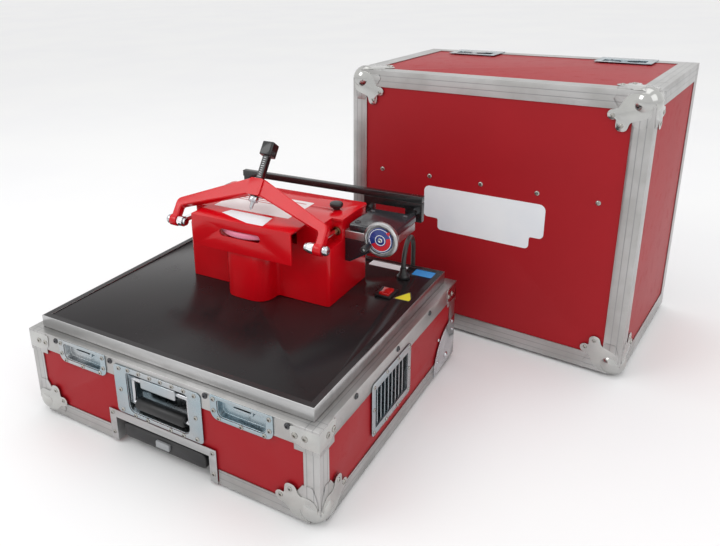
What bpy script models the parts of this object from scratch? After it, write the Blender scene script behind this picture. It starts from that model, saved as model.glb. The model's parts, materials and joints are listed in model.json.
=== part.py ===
"""A skate sharpener built into a carrying case, with the case's cover standing behind it.

Every size below is in millimetres; the helpers turn them into metres.
X runs to the right along the front of the case, Y to its back, Z up.
The origin is the middle of the case base's floor panel, on its underside.
"""

import math

import bmesh
import bpy
from mathutils import Matrix, Vector

MM = 0.001
GAP = 0.3

# Case base
HALF_W = 290.0
HALF_D = 265.0
SKIN = 1.7
PANEL = 7.0
RIM_LOW = 126.0
RIM_TOP = 158.0
PANEL_TOP = 150.0
BALL = 23.5
BALL_INSET = 17.5
ANGLE = 26.0
DECK_TOP = 178.0
DECK_HALF_W = 273.6
DECK_HALF_D = 248.6

# Front fittings
LATCH_X = 162.0
DISH_Y = -HALF_D - GAP
NOTCH_HALF = 98.2
NOTCH_TOP = 46.2
TUBE_X = 70.0
TUBE_Z = 23.0
BAIL_Y = -257.0
BAIL_Z = 127.0

# Wheels of the case
WHEEL_R = 22.9
WHEEL_Y = 222.0
WHEEL_Z = 17.0

# Sharpening machine
BODY_HALF = 150.0
BODY_FRONT = 17.0
BODY_BACK = 165.0
NOSE_HALF = 46.0
NOSE_FRONT = -26.0
BODY_LOW = DECK_TOP + GAP
CHAMBER_FLOOR = 285.0
WALL_TOP = 321.0
GUARD_TOP = 325.0
GUARD_FRONT = -30.0
SPINDLE_Y = 44.0
STONE_R = 76.0
STONE_LOW = 296.0
STONE_HIGH = 306.0
ROD_X = 138.5
ROD_R = 5.5
ROD_Z = 301.0
PIVOT_Y = -19.0
YOKE_LEAN = 54.0
SCREW_X = 231.0
SCREW_Z = 308.0
CRANK_X = 212.0
CRANK_Z = 296.0
KNOB_X = 117.0
KNOB_Y = 108.0
SWITCH = (214.0, 114.0)
GLAND = (214.5, 188.0)

# Cover, standing on one long side
COVER_DEPTH = 365.0
COVER_HIGH = 530.0
COVER_PLACE = (297.3, 358.5, 0.0)
COVER_TURN = -0.102

# Supply cord
CORD_R = 4.5
FLOOR = BALL_INSET - BALL
COIL = (-60.0, 340.0)
COIL_R = 45.0


def clear_scene():
    """Takes away whatever the new scene holds."""
    for obj in list(bpy.data.objects):
        bpy.data.objects.remove(obj, do_unlink=True)


clear_scene()
PARTS = bpy.data.collections.new("skate_sharpener")
CUTTERS = bpy.data.collections.new("cutters")
bpy.context.scene.collection.children.link(PARTS)
bpy.context.scene.collection.children.link(CUTTERS)


def paint(name, colour, roughness, metallic=0.0):
    """A plain Principled material."""
    made = bpy.data.materials.new(name)
    made.use_nodes = True
    shader = made.node_tree.nodes["Principled BSDF"]
    shader.inputs["Base Color"].default_value = (*colour, 1.0)
    shader.inputs["Roughness"].default_value = roughness
    shader.inputs["Metallic"].default_value = metallic
    made.diffuse_color = (*colour, 1.0)
    return made


def empty(name, at, turn=(0.0, 0.0, 0.0), parent=None):
    """A joint or placing point."""
    made = bpy.data.objects.new(name, None)
    made.empty_display_size = 0.02
    made.location = Vector(at) * MM
    made.rotation_euler = turn
    made.parent = parent
    PARTS.objects.link(made)
    return made


# Flat outlines ---------------------------------------------------------------


def rounded(*corners):
    """Points round a flat shape whose corners are (x, y) or (x, y, radius)."""
    points = []
    count = len(corners)
    for i, corner in enumerate(corners):
        here = Vector(corner[:2])
        radius = corner[2] if len(corner) > 2 else 0.0
        if not radius:
            points.append(tuple(here))
            continue
        back = (Vector(corners[i - 1][:2]) - here).normalized()
        ahead = (Vector(corners[(i + 1) % count][:2]) - here).normalized()
        half = back.angle(ahead) / 2
        middle = here + (back + ahead).normalized() * radius / math.sin(half)
        first = here + back * radius / math.tan(half) - middle
        last = here + ahead * radius / math.tan(half) - middle
        sweep = math.pi - 2 * half
        steps = max(2, math.ceil(sweep / 0.4))
        for k in range(steps + 1):
            part = k / steps
            turned = first * math.sin((1 - part) * sweep) + last * math.sin(part * sweep)
            points.append(tuple(middle + turned / math.sin(sweep)))
    return points


def mirrored(points):
    """The same outline on the other side of x = 0."""
    return [(-x, y) for x, y in reversed(points)]


# Shapes, each added to a bmesh -------------------------------------------------


def box(low, high):
    """A cube primitive stretched between two opposite corners."""

    def add(bm):
        size = [(b - a) * MM for a, b in zip(low, high)]
        middle = [(a + b) / 2 * MM for a, b in zip(low, high)]
        place = Matrix.Translation(middle) @ Matrix.Diagonal((*size, 1.0))
        bmesh.ops.create_cube(bm, size=1.0, matrix=place)

    return add


def rod(start, end, radius, segments=20, end_radius=None):
    """A cylinder or cone primitive between two points."""

    def add(bm):
        a = Vector(start) * MM
        b = Vector(end) * MM
        turn = (b - a).to_track_quat("Z", "Y").to_matrix().to_4x4()
        bmesh.ops.create_cone(
            bm,
            cap_ends=True,
            segments=segments,
            radius1=radius * MM,
            radius2=(radius if end_radius is None else end_radius) * MM,
            depth=(b - a).length,
            matrix=Matrix.Translation((a + b) / 2) @ turn,
        )

    return add


def ball(centre, radius):
    """A sphere primitive."""

    def add(bm):
        place = Matrix.Translation(Vector(centre) * MM)
        bmesh.ops.create_uvsphere(
            bm, u_segments=20, v_segments=12, radius=radius * MM, matrix=place
        )

    return add


def plate(axis, start, end, points):
    """A flat outline pulled out along x, y or z, from start to end."""

    def add(bm):
        flat = bmesh.new()
        order = {"x": (2, 0, 1), "y": (0, 2, 1), "z": (0, 1, 2)}[axis]
        corners = []
        for a, b in points:
            values = (a, b, start)
            corners.append(flat.verts.new([values[i] * MM for i in order]))
        face = flat.faces.new(corners)
        pulled = bmesh.ops.extrude_face_region(flat, geom=[face])
        moved = [v for v in pulled["geom"] if isinstance(v, bmesh.types.BMVert)]
        shift = Vector([(0.0, 0.0, end - start)[i] for i in order]) * MM
        bmesh.ops.translate(flat, verts=moved, vec=shift)
        take(flat, bm)

    return add


def turned(at, axis, profile, segments=32, close=False):
    """A profile of (radius, distance along the axis) spun about that axis."""

    def add(bm):
        spun = bmesh.new()
        verts = [spun.verts.new((r * MM, 0.0, h * MM)) for r, h in profile]
        edges = [spun.edges.new(pair) for pair in zip(verts, verts[1:])]
        if close:
            edges.append(spun.edges.new((verts[-1], verts[0])))
        bmesh.ops.spin(
            spun,
            geom=verts + edges,
            cent=(0, 0, 0),
            axis=(0, 0, 1),
            angle=math.tau,
            steps=segments,
            use_duplicate=False,
        )
        bmesh.ops.remove_doubles(spun, verts=spun.verts, dist=0.00001)
        turn = Vector(axis).to_track_quat("Z", "Y").to_matrix().to_4x4()
        place = Matrix.Translation(Vector(at) * MM) @ turn
        bmesh.ops.transform(spun, matrix=place, verts=spun.verts)
        take(spun, bm)

    return add


def take(source, target):
    """Puts one closed bmesh into another, its faces pointing out."""
    bmesh.ops.recalc_face_normals(source, faces=source.faces)
    carried = bpy.data.meshes.new("carried")
    source.to_mesh(carried)
    source.free()
    target.from_mesh(carried)
    bpy.data.meshes.remove(carried)


# Objects ---------------------------------------------------------------------


def mesh_object(name, shapes, group, origin, parent):
    """One mesh object of shapes that don't touch each other."""
    bm = bmesh.new()
    for shape in shapes:
        shape(bm)
    bmesh.ops.translate(bm, verts=bm.verts, vec=-Vector(origin) * MM)
    mesh = bpy.data.meshes.new(name)
    bm.to_mesh(mesh)
    bm.free()
    obj = bpy.data.objects.new(name, mesh)
    obj.location = Vector(origin) * MM
    obj.parent = parent
    group.objects.link(obj)
    return obj


def piece(name, look, shapes, origin=(0, 0, 0), parent=None, smooth=False, edge=0.0):
    """One sub-part. edge is the width of its chamfers, smooth is for round ones."""
    obj = mesh_object(name, shapes, PARTS, origin, parent)
    obj.data.materials.append(look)
    if smooth:
        for face in obj.data.polygons:
            face.use_smooth = True
        obj.data.set_sharp_from_angle(angle=math.radians(35))
    if edge:
        bevel = obj.modifiers.new("edge", "BEVEL")
        bevel.width = edge * MM
        bevel.segments = 1
        bevel.limit_method = "ANGLE"
        bevel.angle_limit = math.radians(40)
    obj["origin_mm"] = list(origin)
    return obj


def combine(obj, operation, shapes, label):
    """A Boolean with a helper mesh that stands where the piece stands."""
    helper = mesh_object(
        f"{obj.name}_{label}", shapes, CUTTERS, list(obj["origin_mm"]), obj.parent
    )
    helper.hide_render = True
    helper.display_type = "WIRE"
    step = obj.modifiers.new(label, "BOOLEAN")
    step.operation = operation
    step.solver = "EXACT"
    step.object = helper
    return obj


def join(obj, label, *shapes):
    """Adds shapes to a piece."""
    return combine(obj, "UNION", shapes, label)


def cut(obj, label, *shapes):
    """Takes shapes out of a piece."""
    return combine(obj, "DIFFERENCE", shapes, label)


# Materials -------------------------------------------------------------------

RED_BOARD = paint("red_laminate", (0.42, 0.02, 0.025), 0.38)
BLACK_BOARD = paint("black_laminate", (0.03, 0.03, 0.04), 0.3)
ALUMINIUM = paint("aluminium", (0.75, 0.76, 0.78), 0.35, 1.0)
ZINC = paint("zinc_plate", (0.55, 0.6, 0.68), 0.32, 1.0)
RED_PAINT = paint("red_paint", (0.6, 0.015, 0.03), 0.25)
CHROME = paint("chrome", (0.8, 0.8, 0.82), 0.12, 1.0)
STEEL = paint("steel", (0.6, 0.6, 0.62), 0.35, 1.0)
BLACK_PLASTIC = paint("black_plastic", (0.02, 0.02, 0.022), 0.5)
BLACK_METAL = paint("black_metal", (0.02, 0.02, 0.025), 0.3)
RUBBER = paint("rubber", (0.025, 0.025, 0.025), 0.75)
BRONZE = paint("bronze", (0.25, 0.15, 0.07), 0.4, 1.0)
STONE = paint("grinding_stone", (0.72, 0.33, 0.33), 0.9)
RED_LENS = paint("red_plastic", (0.7, 0.02, 0.02), 0.2)
GREY_PLASTIC = paint("grey_plastic", (0.35, 0.36, 0.37), 0.45)
MOTOR_GREY = paint("motor_grey", (0.2, 0.21, 0.22), 0.45)


# Case base -------------------------------------------------------------------


def leg_plates(faces):
    """Riveted legs of one ball corner: each leg's axis, start, end and two directions."""
    shapes = []
    for axis, start, end, along, up in faces:
        spread = [(4, 8), (62, 8), (66, 16), (56, 32), (40, 44), (28, 62), (12, 62), (4, 40)]
        points = [(along[0] + along[1] * a, up[0] + up[1] * b) for a, b in spread]
        shapes.append(plate(axis, start, end, points))
    return shapes


def case_base():
    """Panels, aluminium edges and rim of the lower half of the case."""
    tray = piece(
        "base_tray",
        RED_BOARD,
        [box((-288, -256.5, 0), (288, 263, PANEL_TOP))],
    )
    cut(tray, "inside", box((-281, -258, PANEL), (281, 256, PANEL_TOP + 5)))
    pockets = [
        box((s * 275 - 14, 195, -1), (s * 275 + 14, 250, 48)) for s in (-1, 1)
    ]
    vents = [
        box((s * 285 - 10, -95.3, 51.7), (s * 285 + 10, 35.3, 125.3)) for s in (-1, 1)
    ]
    notch = box((-98.5, -260, -1), (98.5, -229.7, PANEL + 1))
    cut(tray, "openings", notch, *pockets, *vents)

    front = piece(
        "base_front_panel",
        RED_BOARD,
        [box((-288, -263, 0), (288, -256.8, PANEL_TOP))],
    )
    latch_holes = [
        box((s * LATCH_X - 44.5, -270, 121.5), (s * LATCH_X + 44.5, -250, 151))
        for s in (-1, 1)
    ]
    cut(
        front,
        "openings",
        box((-98.5, -270, -1), (98.5, -250, 46.5)),
        box((-65, -270, 65.5), (65, -250, 142.5)),
        *latch_holes,
    )

    rim = piece(
        "base_rim",
        ALUMINIUM,
        [box((-HALF_W, -HALF_D, RIM_LOW), (HALF_W, HALF_D, RIM_TOP))],
    )
    brackets = [
        box(
            (s * 270.6 - 20.6, t * 245.6 - 20.6, RIM_LOW - 8),
            (s * 270.6 + 20.6, t * 245.6 + 20.6, RIM_TOP),
        )
        for s in (-1, 1)
        for t in (-1, 1)
    ]
    join(rim, "corners", *brackets)
    cut(rim, "hollow", box((-288.3, -263.3, 100), (288.3, 263.3, 150.3)))
    cut(rim, "middle", box((-268, -243, 140), (268, 243, 170)))
    rim_holes = [
        box((s * LATCH_X - 44.5, -270, 120), (s * LATCH_X + 44.5, -262, 150.3))
        for s in (-1, 1)
    ]
    cut(rim, "openings", box((-65, -270, 120), (65, -262, 142.5)), *rim_holes)

    frame = piece(
        "base_edge_frame",
        ALUMINIUM,
        [box((-HALF_W, -HALF_D, -2), (HALF_W, HALF_D, 25))],
    )
    posts = []
    for s in (-1, 1):
        for t in (-1, 1):
            x0, x1 = sorted((s * 264, s * HALF_W))
            y0, y1 = sorted((t * 239, t * HALF_D))
            top = RIM_LOW - 8 - GAP
            posts.append(box((x0, y0, 10), (x1, y1, top)))
    join(frame, "posts", *posts)
    balls = [
        ball((s * (HALF_W - BALL_INSET), -HALF_D + BALL_INSET, BALL_INSET), BALL)
        for s in (-1, 1)
    ]
    join(frame, "balls", *balls)
    legs = []
    for s in (-1, 1):
        front_leg = ("y", -HALF_D - 1.3, -HALF_D + 0.5, (s * HALF_W, -s), (0, 1))
        side = sorted((s * (HALF_W + 1.3), s * (HALF_W - 0.5)))
        side_leg = ("x", side[0], side[1], (-HALF_D, 1), (0, 1))
        legs += leg_plates([front_leg, side_leg])
    join(frame, "legs", *legs)
    cut(frame, "inside", box((-288.3, -263.3, -GAP), (288.3, 263.3, 140)))
    cut(frame, "window", box((-264, -239, -3), (264, 239, 1)))
    pockets = [
        box((s * 275.1 - 13.1, 195, -4), (s * 275.1 + 13.1, 250, 1)) for s in (-1, 1)
    ]
    bores = [
        rod((s * 280, WHEEL_Y, WHEEL_Z), (s * 300, WHEEL_Y, WHEEL_Z), 4.6)
        for s in (-1, 1)
    ]
    gap = box((-112.5, -270, -4), (112.5, -236, 60))
    cut(frame, "gaps", gap, *pockets, *bores)


def front_fittings():
    """Catch dishes, carrying handle and the pull-out handle at the bottom."""
    for side, s in (("left", -1), ("right", 1)):
        x = s * LATCH_X
        dish = piece(
            f"base_latch_dish_{side}",
            ZINC,
            [box((x - 55, DISH_Y - 1.5, 118), (x + 55, DISH_Y, 157.7))],
        )
        join(dish, "pan", box((x - 44, DISH_Y - 1, 122), (x + 44, -252, 150)))
        cut(dish, "hollow", box((x - 42, -270, 124), (x + 42, -254, 148)))
        join(dish, "catch", box((x - 19, -264, 138), (x + 19, -253, 141)))

    dish = piece(
        "handle_dish",
        ZINC,
        [box((-89, DISH_Y - 1.5, 61), (89, DISH_Y, 150))],
    )
    join(dish, "pan", box((-64.7, DISH_Y - 1, 65.8), (64.7, -235, 142.2)))
    cut(dish, "hollow", box((-63.2, -270, 67.3), (63.2, -236.5, 140.7)))
    join(dish, "hinge", box((-17, -264, 118), (17, -236, 136)))
    cut(dish, "hinge_bore", rod((-30, BAIL_Y, BAIL_Z), (30, BAIL_Y, BAIL_Z), 4.6))

    at = (0, BAIL_Y, BAIL_Z)
    bail = piece(
        "handle_bail",
        STEEL,
        [rod((-62.6, BAIL_Y, BAIL_Z), (62.6, BAIL_Y, BAIL_Z), 4, 12)],
        at,
        smooth=True,
    )
    arms = [
        rod((s * 57, BAIL_Y, BAIL_Z + 1), (s * 57, BAIL_Y, 81), 3.6, 12)
        for s in (-1, 1)
    ]
    join(bail, "arms", *arms)
    join(bail, "bar", rod((-60.6, BAIL_Y, 83), (60.6, BAIL_Y, 83), 3.9, 12))
    piece(
        "handle_grip",
        RUBBER,
        [
            turned(
                (-50, BAIL_Y, 83),
                (1, 0, 0),
                [(4.2, 0), (8.5, 0), (10.5, 4), (10.5, 96), (8.5, 100), (4.2, 100)],
                20,
                True,
            )
        ],
        at,
        smooth=True,
    )

    channel = piece(
        "pull_handle_channel",
        STEEL,
        [box((-111, DISH_Y - 1.5, -1.5), (111, DISH_Y, 59))],
    )
    join(
        channel,
        "pan",
        box((-NOTCH_HALF, DISH_Y - 1, -1), (NOTCH_HALF, -230, NOTCH_TOP)),
    )
    guides = [
        rod((s * TUBE_X, -231, TUBE_Z), (s * TUBE_X, 120, TUBE_Z), 9, 16)
        for s in (-1, 1)
    ]
    join(channel, "guides", *guides)
    cut(channel, "hollow", box((-96.7, -270, -5), (96.7, -231.5, 44.7)))
    bores = [
        rod((s * TUBE_X, -240, TUBE_Z), (s * TUBE_X, 125, TUBE_Z), 6.6, 16)
        for s in (-1, 1)
    ]
    cut(channel, "bores", *bores)

    pull = piece(
        "pull_handle",
        BLACK_PLASTIC,
        [
            plate(
                "y",
                -262,
                -242,
                rounded((-86, 10, 8), (86, 10, 8), (86, 36, 8), (-86, 36, 8)),
            )
        ],
        edge=1.5,
    )
    tubes = [
        rod((s * TUBE_X, -246, TUBE_Z), (s * TUBE_X, 115, TUBE_Z), 6, 16)
        for s in (-1, 1)
    ]
    join(pull, "tubes", *tubes)
    cut(pull, "pocket", box((-14.5, -264, 16.5), (14.5, -253, 29.5)))
    piece(
        "pull_handle_button",
        GREY_PLASTIC,
        [box((-14, -266, 17), (14, -258, 29))],
        edge=1.0,
    )


def side_fittings():
    """Ribbed vent dishes on both sides, and the wheels at the back corners."""
    for side, s in (("left", -1), ("right", 1)):
        x0, x1 = sorted((s * (HALF_W + GAP), s * (HALF_W + GAP + 1.5)))
        dish = piece(
            f"vent_dish_{side}",
            ZINC,
            [
                plate(
                    "x",
                    x0,
                    x1,
                    rounded((-105, 42, 8), (45, 42, 8), (45, 137, 8), (-105, 137, 8)),
                )
            ],
        )
        pan = sorted((s * (HALF_W + 1), s * 268))
        join(dish, "pan", box((pan[0], -95, 52), (pan[1], 35, 125)))
        well = sorted((s * (HALF_W + 8), s * 270))
        cut(dish, "hollow", box((well[0], -93, 54), (well[1], 33, 123)))
        ribs = []
        reach = sorted((s * 269, s * 288))
        for k in range(8):
            y = -79 + k * 14
            ribs.append(box((reach[0], y - 1.5, 53), (reach[1], y + 1.5, 124)))
        join(dish, "ribs", *ribs)

        outer = sorted((s * (HALF_W + GAP), s * (HALF_W + GAP + 1.5)))
        curve = [(264.5, 2), (264.5, 88)]
        for k in range(1, 8):
            turn = math.pi / 2 * k / 8
            curve.append((264.5 - 104 * math.sin(turn), 2 + 86 * math.cos(turn)))
        curve.append((160.5, 2))
        bracket = piece(
            f"wheel_bracket_{side}",
            STEEL,
            [plate("x", outer[0], outer[1], curve)],
        )
        join(
            bracket,
            "axle",
            rod((s * 263, WHEEL_Y, WHEEL_Z), (s * 291, WHEEL_Y, WHEEL_Z), 4, 16),
        )
        inner = sorted((s * 262.6, s * 264.1))
        web = sorted((s * 262.6, s * 287.7))
        join(bracket, "inner", box((inner[0], 196, 2), (inner[1], 249.5, 47.5)))
        join(bracket, "web", box((web[0], 196, 46), (web[1], 249.5, 47.6)))
        join(
            bracket,
            "bolt",
            turned(
                (s * 291.4, WHEEL_Y, WHEEL_Z),
                (s, 0, 0),
                [(0, 4.5), (4, 3.8), (7, 1.8), (8, 0), (0, 0)],
                20,
            ),
        )
        piece(
            f"case_wheel_{side}",
            RUBBER,
            [
                turned(
                    (s * 277 - 9, WHEEL_Y, WHEEL_Z),
                    (1, 0, 0),
                    [
                        (4.3, 0),
                        (WHEEL_R - 2, 0),
                        (WHEEL_R, 2),
                        (WHEEL_R, 16),
                        (WHEEL_R - 2, 18),
                        (4.3, 18),
                    ],
                    32,
                    True,
                )
            ],
            (s * 277, WHEEL_Y, WHEEL_Z),
            smooth=True,
        )


def deck():
    """The black board that the machine stands on, its edge, the switch and the gland."""
    x, y = SWITCH
    board = piece(
        "deck_board",
        BLACK_BOARD,
        [box((-271.5, -246.5, 172), (271.5, 246.5, DECK_TOP))],
    )
    cut(
        board,
        "holes",
        rod((0, SPINDLE_Y, 165), (0, SPINDLE_Y, 185), 30),
        box((x - 12, y - 16, 165), (x + 12, y + 16, 185)),
        rod((*GLAND, 165), (*GLAND, 185), 9),
    )
    edge = piece(
        "deck_edge",
        ALUMINIUM,
        [
            box(
                (-DECK_HALF_W, -DECK_HALF_D, RIM_TOP + GAP),
                (DECK_HALF_W, DECK_HALF_D, DECK_TOP + 1.5),
            )
        ],
    )
    cut(edge, "under", box((-271.8, -246.8, 150), (271.8, 246.8, DECK_TOP + GAP)))
    cut(edge, "over", box((-262, -237, 170), (262, 237, 190)))

    bezel = piece(
        "switch_bezel",
        BLACK_PLASTIC,
        [box((x - 15, y - 19, DECK_TOP + GAP), (x + 15, y + 19, 181.5))],
    )
    join(bezel, "housing", box((x - 11.7, y - 15.7, 158), (x + 11.7, y + 15.7, 179)))
    cut(bezel, "well", box((x - 10.2, y - 14.4, 163), (x + 10.2, y + 14.4, 190)))
    piece(
        "switch_rocker",
        RED_LENS,
        [
            plate(
                "x",
                x - 9.6,
                x + 9.6,
                [
                    (y - 12.4, 171),
                    (y + 12.4, 171),
                    (y + 12.4, 184.5),
                    (y, 182),
                    (y - 12.4, 184.5),
                ],
            )
        ],
        (x, y, 177),
    )
    piece(
        "cord_gland",
        BLACK_PLASTIC,
        [
            turned(
                (*GLAND, 0),
                (0, 0, 1),
                [
                    (4.9, 160),
                    (8.6, 160),
                    (8.6, 178.3),
                    (16, 178.3),
                    (16, 186),
                    (13, 187),
                    (13, 192),
                    (9, 195),
                    (6.5, 205),
                    (4.9, 205),
                ],
                24,
                True,
            )
        ],
        smooth=True,
    )


# Machine ---------------------------------------------------------------------


def machine():
    """Red casting, motor below the deck, grinding wheel and its guard."""
    plan = rounded(
        (-NOSE_HALF, BODY_FRONT, 6),
        (-NOSE_HALF, NOSE_FRONT, 28),
        (NOSE_HALF, NOSE_FRONT, 28),
        (NOSE_HALF, BODY_FRONT, 6),
        (BODY_HALF, BODY_FRONT, 6),
        (BODY_HALF, BODY_BACK, 8),
        (-BODY_HALF, BODY_BACK, 8),
        (-BODY_HALF, BODY_FRONT, 6),
    )
    body = piece(
        "machine_body",
        RED_PAINT,
        [plate("z", BODY_LOW, CHAMBER_FLOOR, plan)],
    )
    walls = rounded(
        (131, BODY_FRONT),
        (131, 68),
        (BODY_HALF, 68),
        (BODY_HALF, BODY_BACK, 8),
        (-BODY_HALF, BODY_BACK, 8),
        (-BODY_HALF, 68),
        (-131, 68),
        (-131, BODY_FRONT),
    )
    join(body, "walls", plate("z", CHAMBER_FLOOR - 1, WALL_TOP, walls))
    chamber = box((-88, -36, CHAMBER_FLOOR), (88, 128, 340))
    bores = []
    for s in (-1, 1):
        bores.append(
            turned(
                (s * ROD_X, 0, ROD_Z),
                (0, 1, 0),
                [(0, 60), (8.3, 60), (8.3, 92), (6, 92), (6, 172), (0, 172)],
                20,
            )
        )
        bores.append(rod((s * KNOB_X, KNOB_Y, 300), (s * KNOB_X, KNOB_Y, 330), 3.4, 12))
    cut(body, "hollows", chamber, *bores)
    cut(body, "underside", box((-140, 27, 160), (140, 155, 274)))
    cut(body, "spindle_bore", rod((0, SPINDLE_Y, 265), (0, SPINDLE_Y, 299), 12, 24))

    piece(
        "motor_housing",
        MOTOR_GREY,
        [
            turned(
                (0, SPINDLE_Y, 0),
                (0, 0, 1),
                [
                    (0, 60),
                    (12, 60),
                    (12, 171.7),
                    (64, 171.7),
                    (64, 162),
                    (56, 158),
                    (56, 52),
                    (48, 42),
                    (0, 42),
                ],
                32,
            )
        ],
        smooth=True,
    )
    spindle = [
        (0, 318),
        (8, 318),
        (8, 295.7),
        (24, 295.7),
        (24, 291),
        (14, 290),
        (14, 288),
        (8, 288),
        (8, 62),
        (0, 62),
    ]
    piece(
        "wheel_spindle",
        STEEL,
        [turned((0, SPINDLE_Y, 0), (0, 0, 1), spindle, 24)],
        (0, SPINDLE_Y, 301),
        smooth=True,
    )
    edge = [
        (8.3, STONE_LOW),
        (STONE_R - 1.5, STONE_LOW),
        (STONE_R, STONE_LOW + 2.5),
        (STONE_R, STONE_HIGH - 2.5),
        (STONE_R - 1.5, STONE_HIGH),
        (8.3, STONE_HIGH),
    ]
    piece(
        "grinding_wheel",
        STONE,
        [turned((0, SPINDLE_Y, 0), (0, 0, 1), edge, 48, True)],
        (0, SPINDLE_Y, 301),
        smooth=True,
    )
    nut = piece(
        "spindle_nut",
        STEEL,
        [rod((0, SPINDLE_Y, 306.3), (0, SPINDLE_Y, 315.5), 14, 6)],
        (0, SPINDLE_Y, 301),
    )
    cut(nut, "bore", rod((0, SPINDLE_Y, 300), (0, SPINDLE_Y, 320), 8.3))

    half = [(106, GUARD_FRONT, 3), (106, 17), (131, 17), (131, 65), (152, 65), (152, 165, 8)]
    sheet = rounded(*half, *[(-c[0], *c[1:]) for c in reversed(half)])
    guard = piece(
        "wheel_guard",
        RED_PAINT,
        [plate("z", WALL_TOP + GAP, GUARD_TOP, sheet)],
    )
    join(guard, "front", box((-105, GUARD_FRONT, 266), (105, GUARD_FRONT + 3, 324)))
    slot = rounded((-43, 294, 6.9), (43, 294, 6.9), (43, 308, 6.9), (-43, 308, 6.9))
    holes = [
        rod((s * KNOB_X, KNOB_Y, 310), (s * KNOB_X, KNOB_Y, 335), 4, 12) for s in (-1, 1)
    ]
    cut(guard, "holes", plate("y", -35, -22, slot), *holes)
    for side, s in (("left", -1), ("right", 1)):
        piece(
            f"guard_knob_{side}",
            BLACK_PLASTIC,
            [
                turned(
                    (s * KNOB_X, KNOB_Y, 0),
                    (0, 0, 1),
                    [
                        (0, 344),
                        (8, 344),
                        (11, 341),
                        (11, 332),
                        (7, 329),
                        (7, 325.4),
                        (3, 325.4),
                        (3, 302),
                        (0, 302),
                    ],
                    20,
                )
            ],
            (s * KNOB_X, KNOB_Y, 325),
            smooth=True,
        )


def feed():
    """Rods, crossbar and bracket that the screw and handwheel move to and fro."""
    for side, s in (("left", -1), ("right", 1)):
        x = s * ROD_X
        piece(
            f"rod_bush_{side}",
            BRONZE,
            [
                turned(
                    (x, 0, ROD_Z),
                    (0, 1, 0),
                    [(5.8, 66), (8, 66), (8, 91.5), (5.8, 91.5)],
                    20,
                    True,
                )
            ],
            smooth=True,
        )
        guide = piece(
            f"guide_rod_{side}",
            CHROME,
            [rod((x, PIVOT_Y, ROD_Z), (x, 194.7, ROD_Z), ROD_R, 20)],
            smooth=True,
        )
        join(
            guide,
            "eye",
            rod((x - 6.2, PIVOT_Y, ROD_Z), (x + 6.2, PIVOT_Y, ROD_Z), 9.5, 20),
        )
        cut(
            guide,
            "bore",
            rod((x - 12, PIVOT_Y, ROD_Z), (x + 12, PIVOT_Y, ROD_Z), 4.4, 16),
        )
        piece(
            f"pivot_bolt_{side}",
            STEEL,
            [
                turned(
                    (0, PIVOT_Y, ROD_Z),
                    (s, 0, 0),
                    [
                        (0, 127),
                        (7, 127),
                        (7, 132),
                        (4, 132),
                        (4, 160.3),
                        (8.5, 160.3),
                        (8.5, 167),
                        (6, 170),
                        (0, 170),
                    ],
                    16,
                )
            ],
            (s * 150, PIVOT_Y, ROD_Z),
            smooth=True,
        )

    bar = piece(
        "crossbar",
        STEEL,
        [box((-150, 195, 328), (244, 207, 340))],
    )
    join(bar, "leg", box((-148, 195, 291), (-129, 207, 330)))
    bracket = piece(
        "feed_bracket",
        STEEL,
        [
            plate(
                "y",
                195,
                207,
                [
                    (129, 291),
                    (148, 291),
                    (148, 314),
                    (212, 314),
                    (212, 291),
                    (244, 291),
                    (244, 327.7),
                    (129, 327.7),
                ],
            )
        ],
    )
    cut(bracket, "bore", rod((SCREW_X, 190, SCREW_Z), (SCREW_X, 212, SCREW_Z), 5.4))

    piece(
        "slide_housing",
        ALUMINIUM,
        [box((150.3, 76, 287), (244, 166, 302.2))],
        edge=0.8,
    )
    cover = piece(
        "slide_cover",
        BLACK_METAL,
        [box((158, 76, 302.5), (246, 166, 316))],
        edge=2.5,
    )
    cut(cover, "bore", rod((SCREW_X, 70, SCREW_Z), (SCREW_X, 172, SCREW_Z), 5.4))
    piece(
        "slide_gusset",
        BLACK_METAL,
        [plate("y", 77, 89, [(150.3, 244), (160, 244), (228, 286.7), (150.3, 286.7)])],
    )
    piece(
        "feed_screw",
        STEEL,
        [rod((SCREW_X, 50, SCREW_Z), (SCREW_X, 219, SCREW_Z), 5, 16)],
        (SCREW_X, 52, SCREW_Z),
        smooth=True,
    )
    wheel = piece(
        "handwheel",
        ALUMINIUM,
        [
            turned(
                (SCREW_X, 0, SCREW_Z),
                (0, 1, 0),
                [
                    (5.3, 75.6),
                    (10, 75.6),
                    (10, 58),
                    (27, 58),
                    (30.5, 55.5),
                    (30.5, 49),
                    (28.5, 46.5),
                    (24.5, 46.5),
                    (24, 49.5),
                    (5.3, 49.5),
                ],
                40,
                True,
            )
        ],
        (SCREW_X, 52, SCREW_Z),
        smooth=True,
    )
    join(
        wheel,
        "crank_pin",
        rod((CRANK_X, 24, CRANK_Z), (CRANK_X, 52, CRANK_Z), 2.6, 12),
    )
    piece(
        "crank_knob",
        BLACK_PLASTIC,
        [
            turned(
                (CRANK_X, 0, CRANK_Z),
                (0, 1, 0),
                [(2.9, 22), (4.5, 22), (5.6, 24), (5.6, 40), (4.6, 46), (2.9, 46)],
                16,
                True,
            )
        ],
        (CRANK_X, 34, CRANK_Z),
        smooth=True,
    )
    piece(
        "handwheel_dial",
        BLACK_METAL,
        [
            turned(
                (SCREW_X, 0, SCREW_Z),
                (0, 1, 0),
                [(0, 47.6), (2, 47.2), (14, 47.2), (14, 49.2), (0, 49.2)],
                32,
            )
        ],
        (SCREW_X, 52, SCREW_Z),
        smooth=True,
    )


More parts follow.
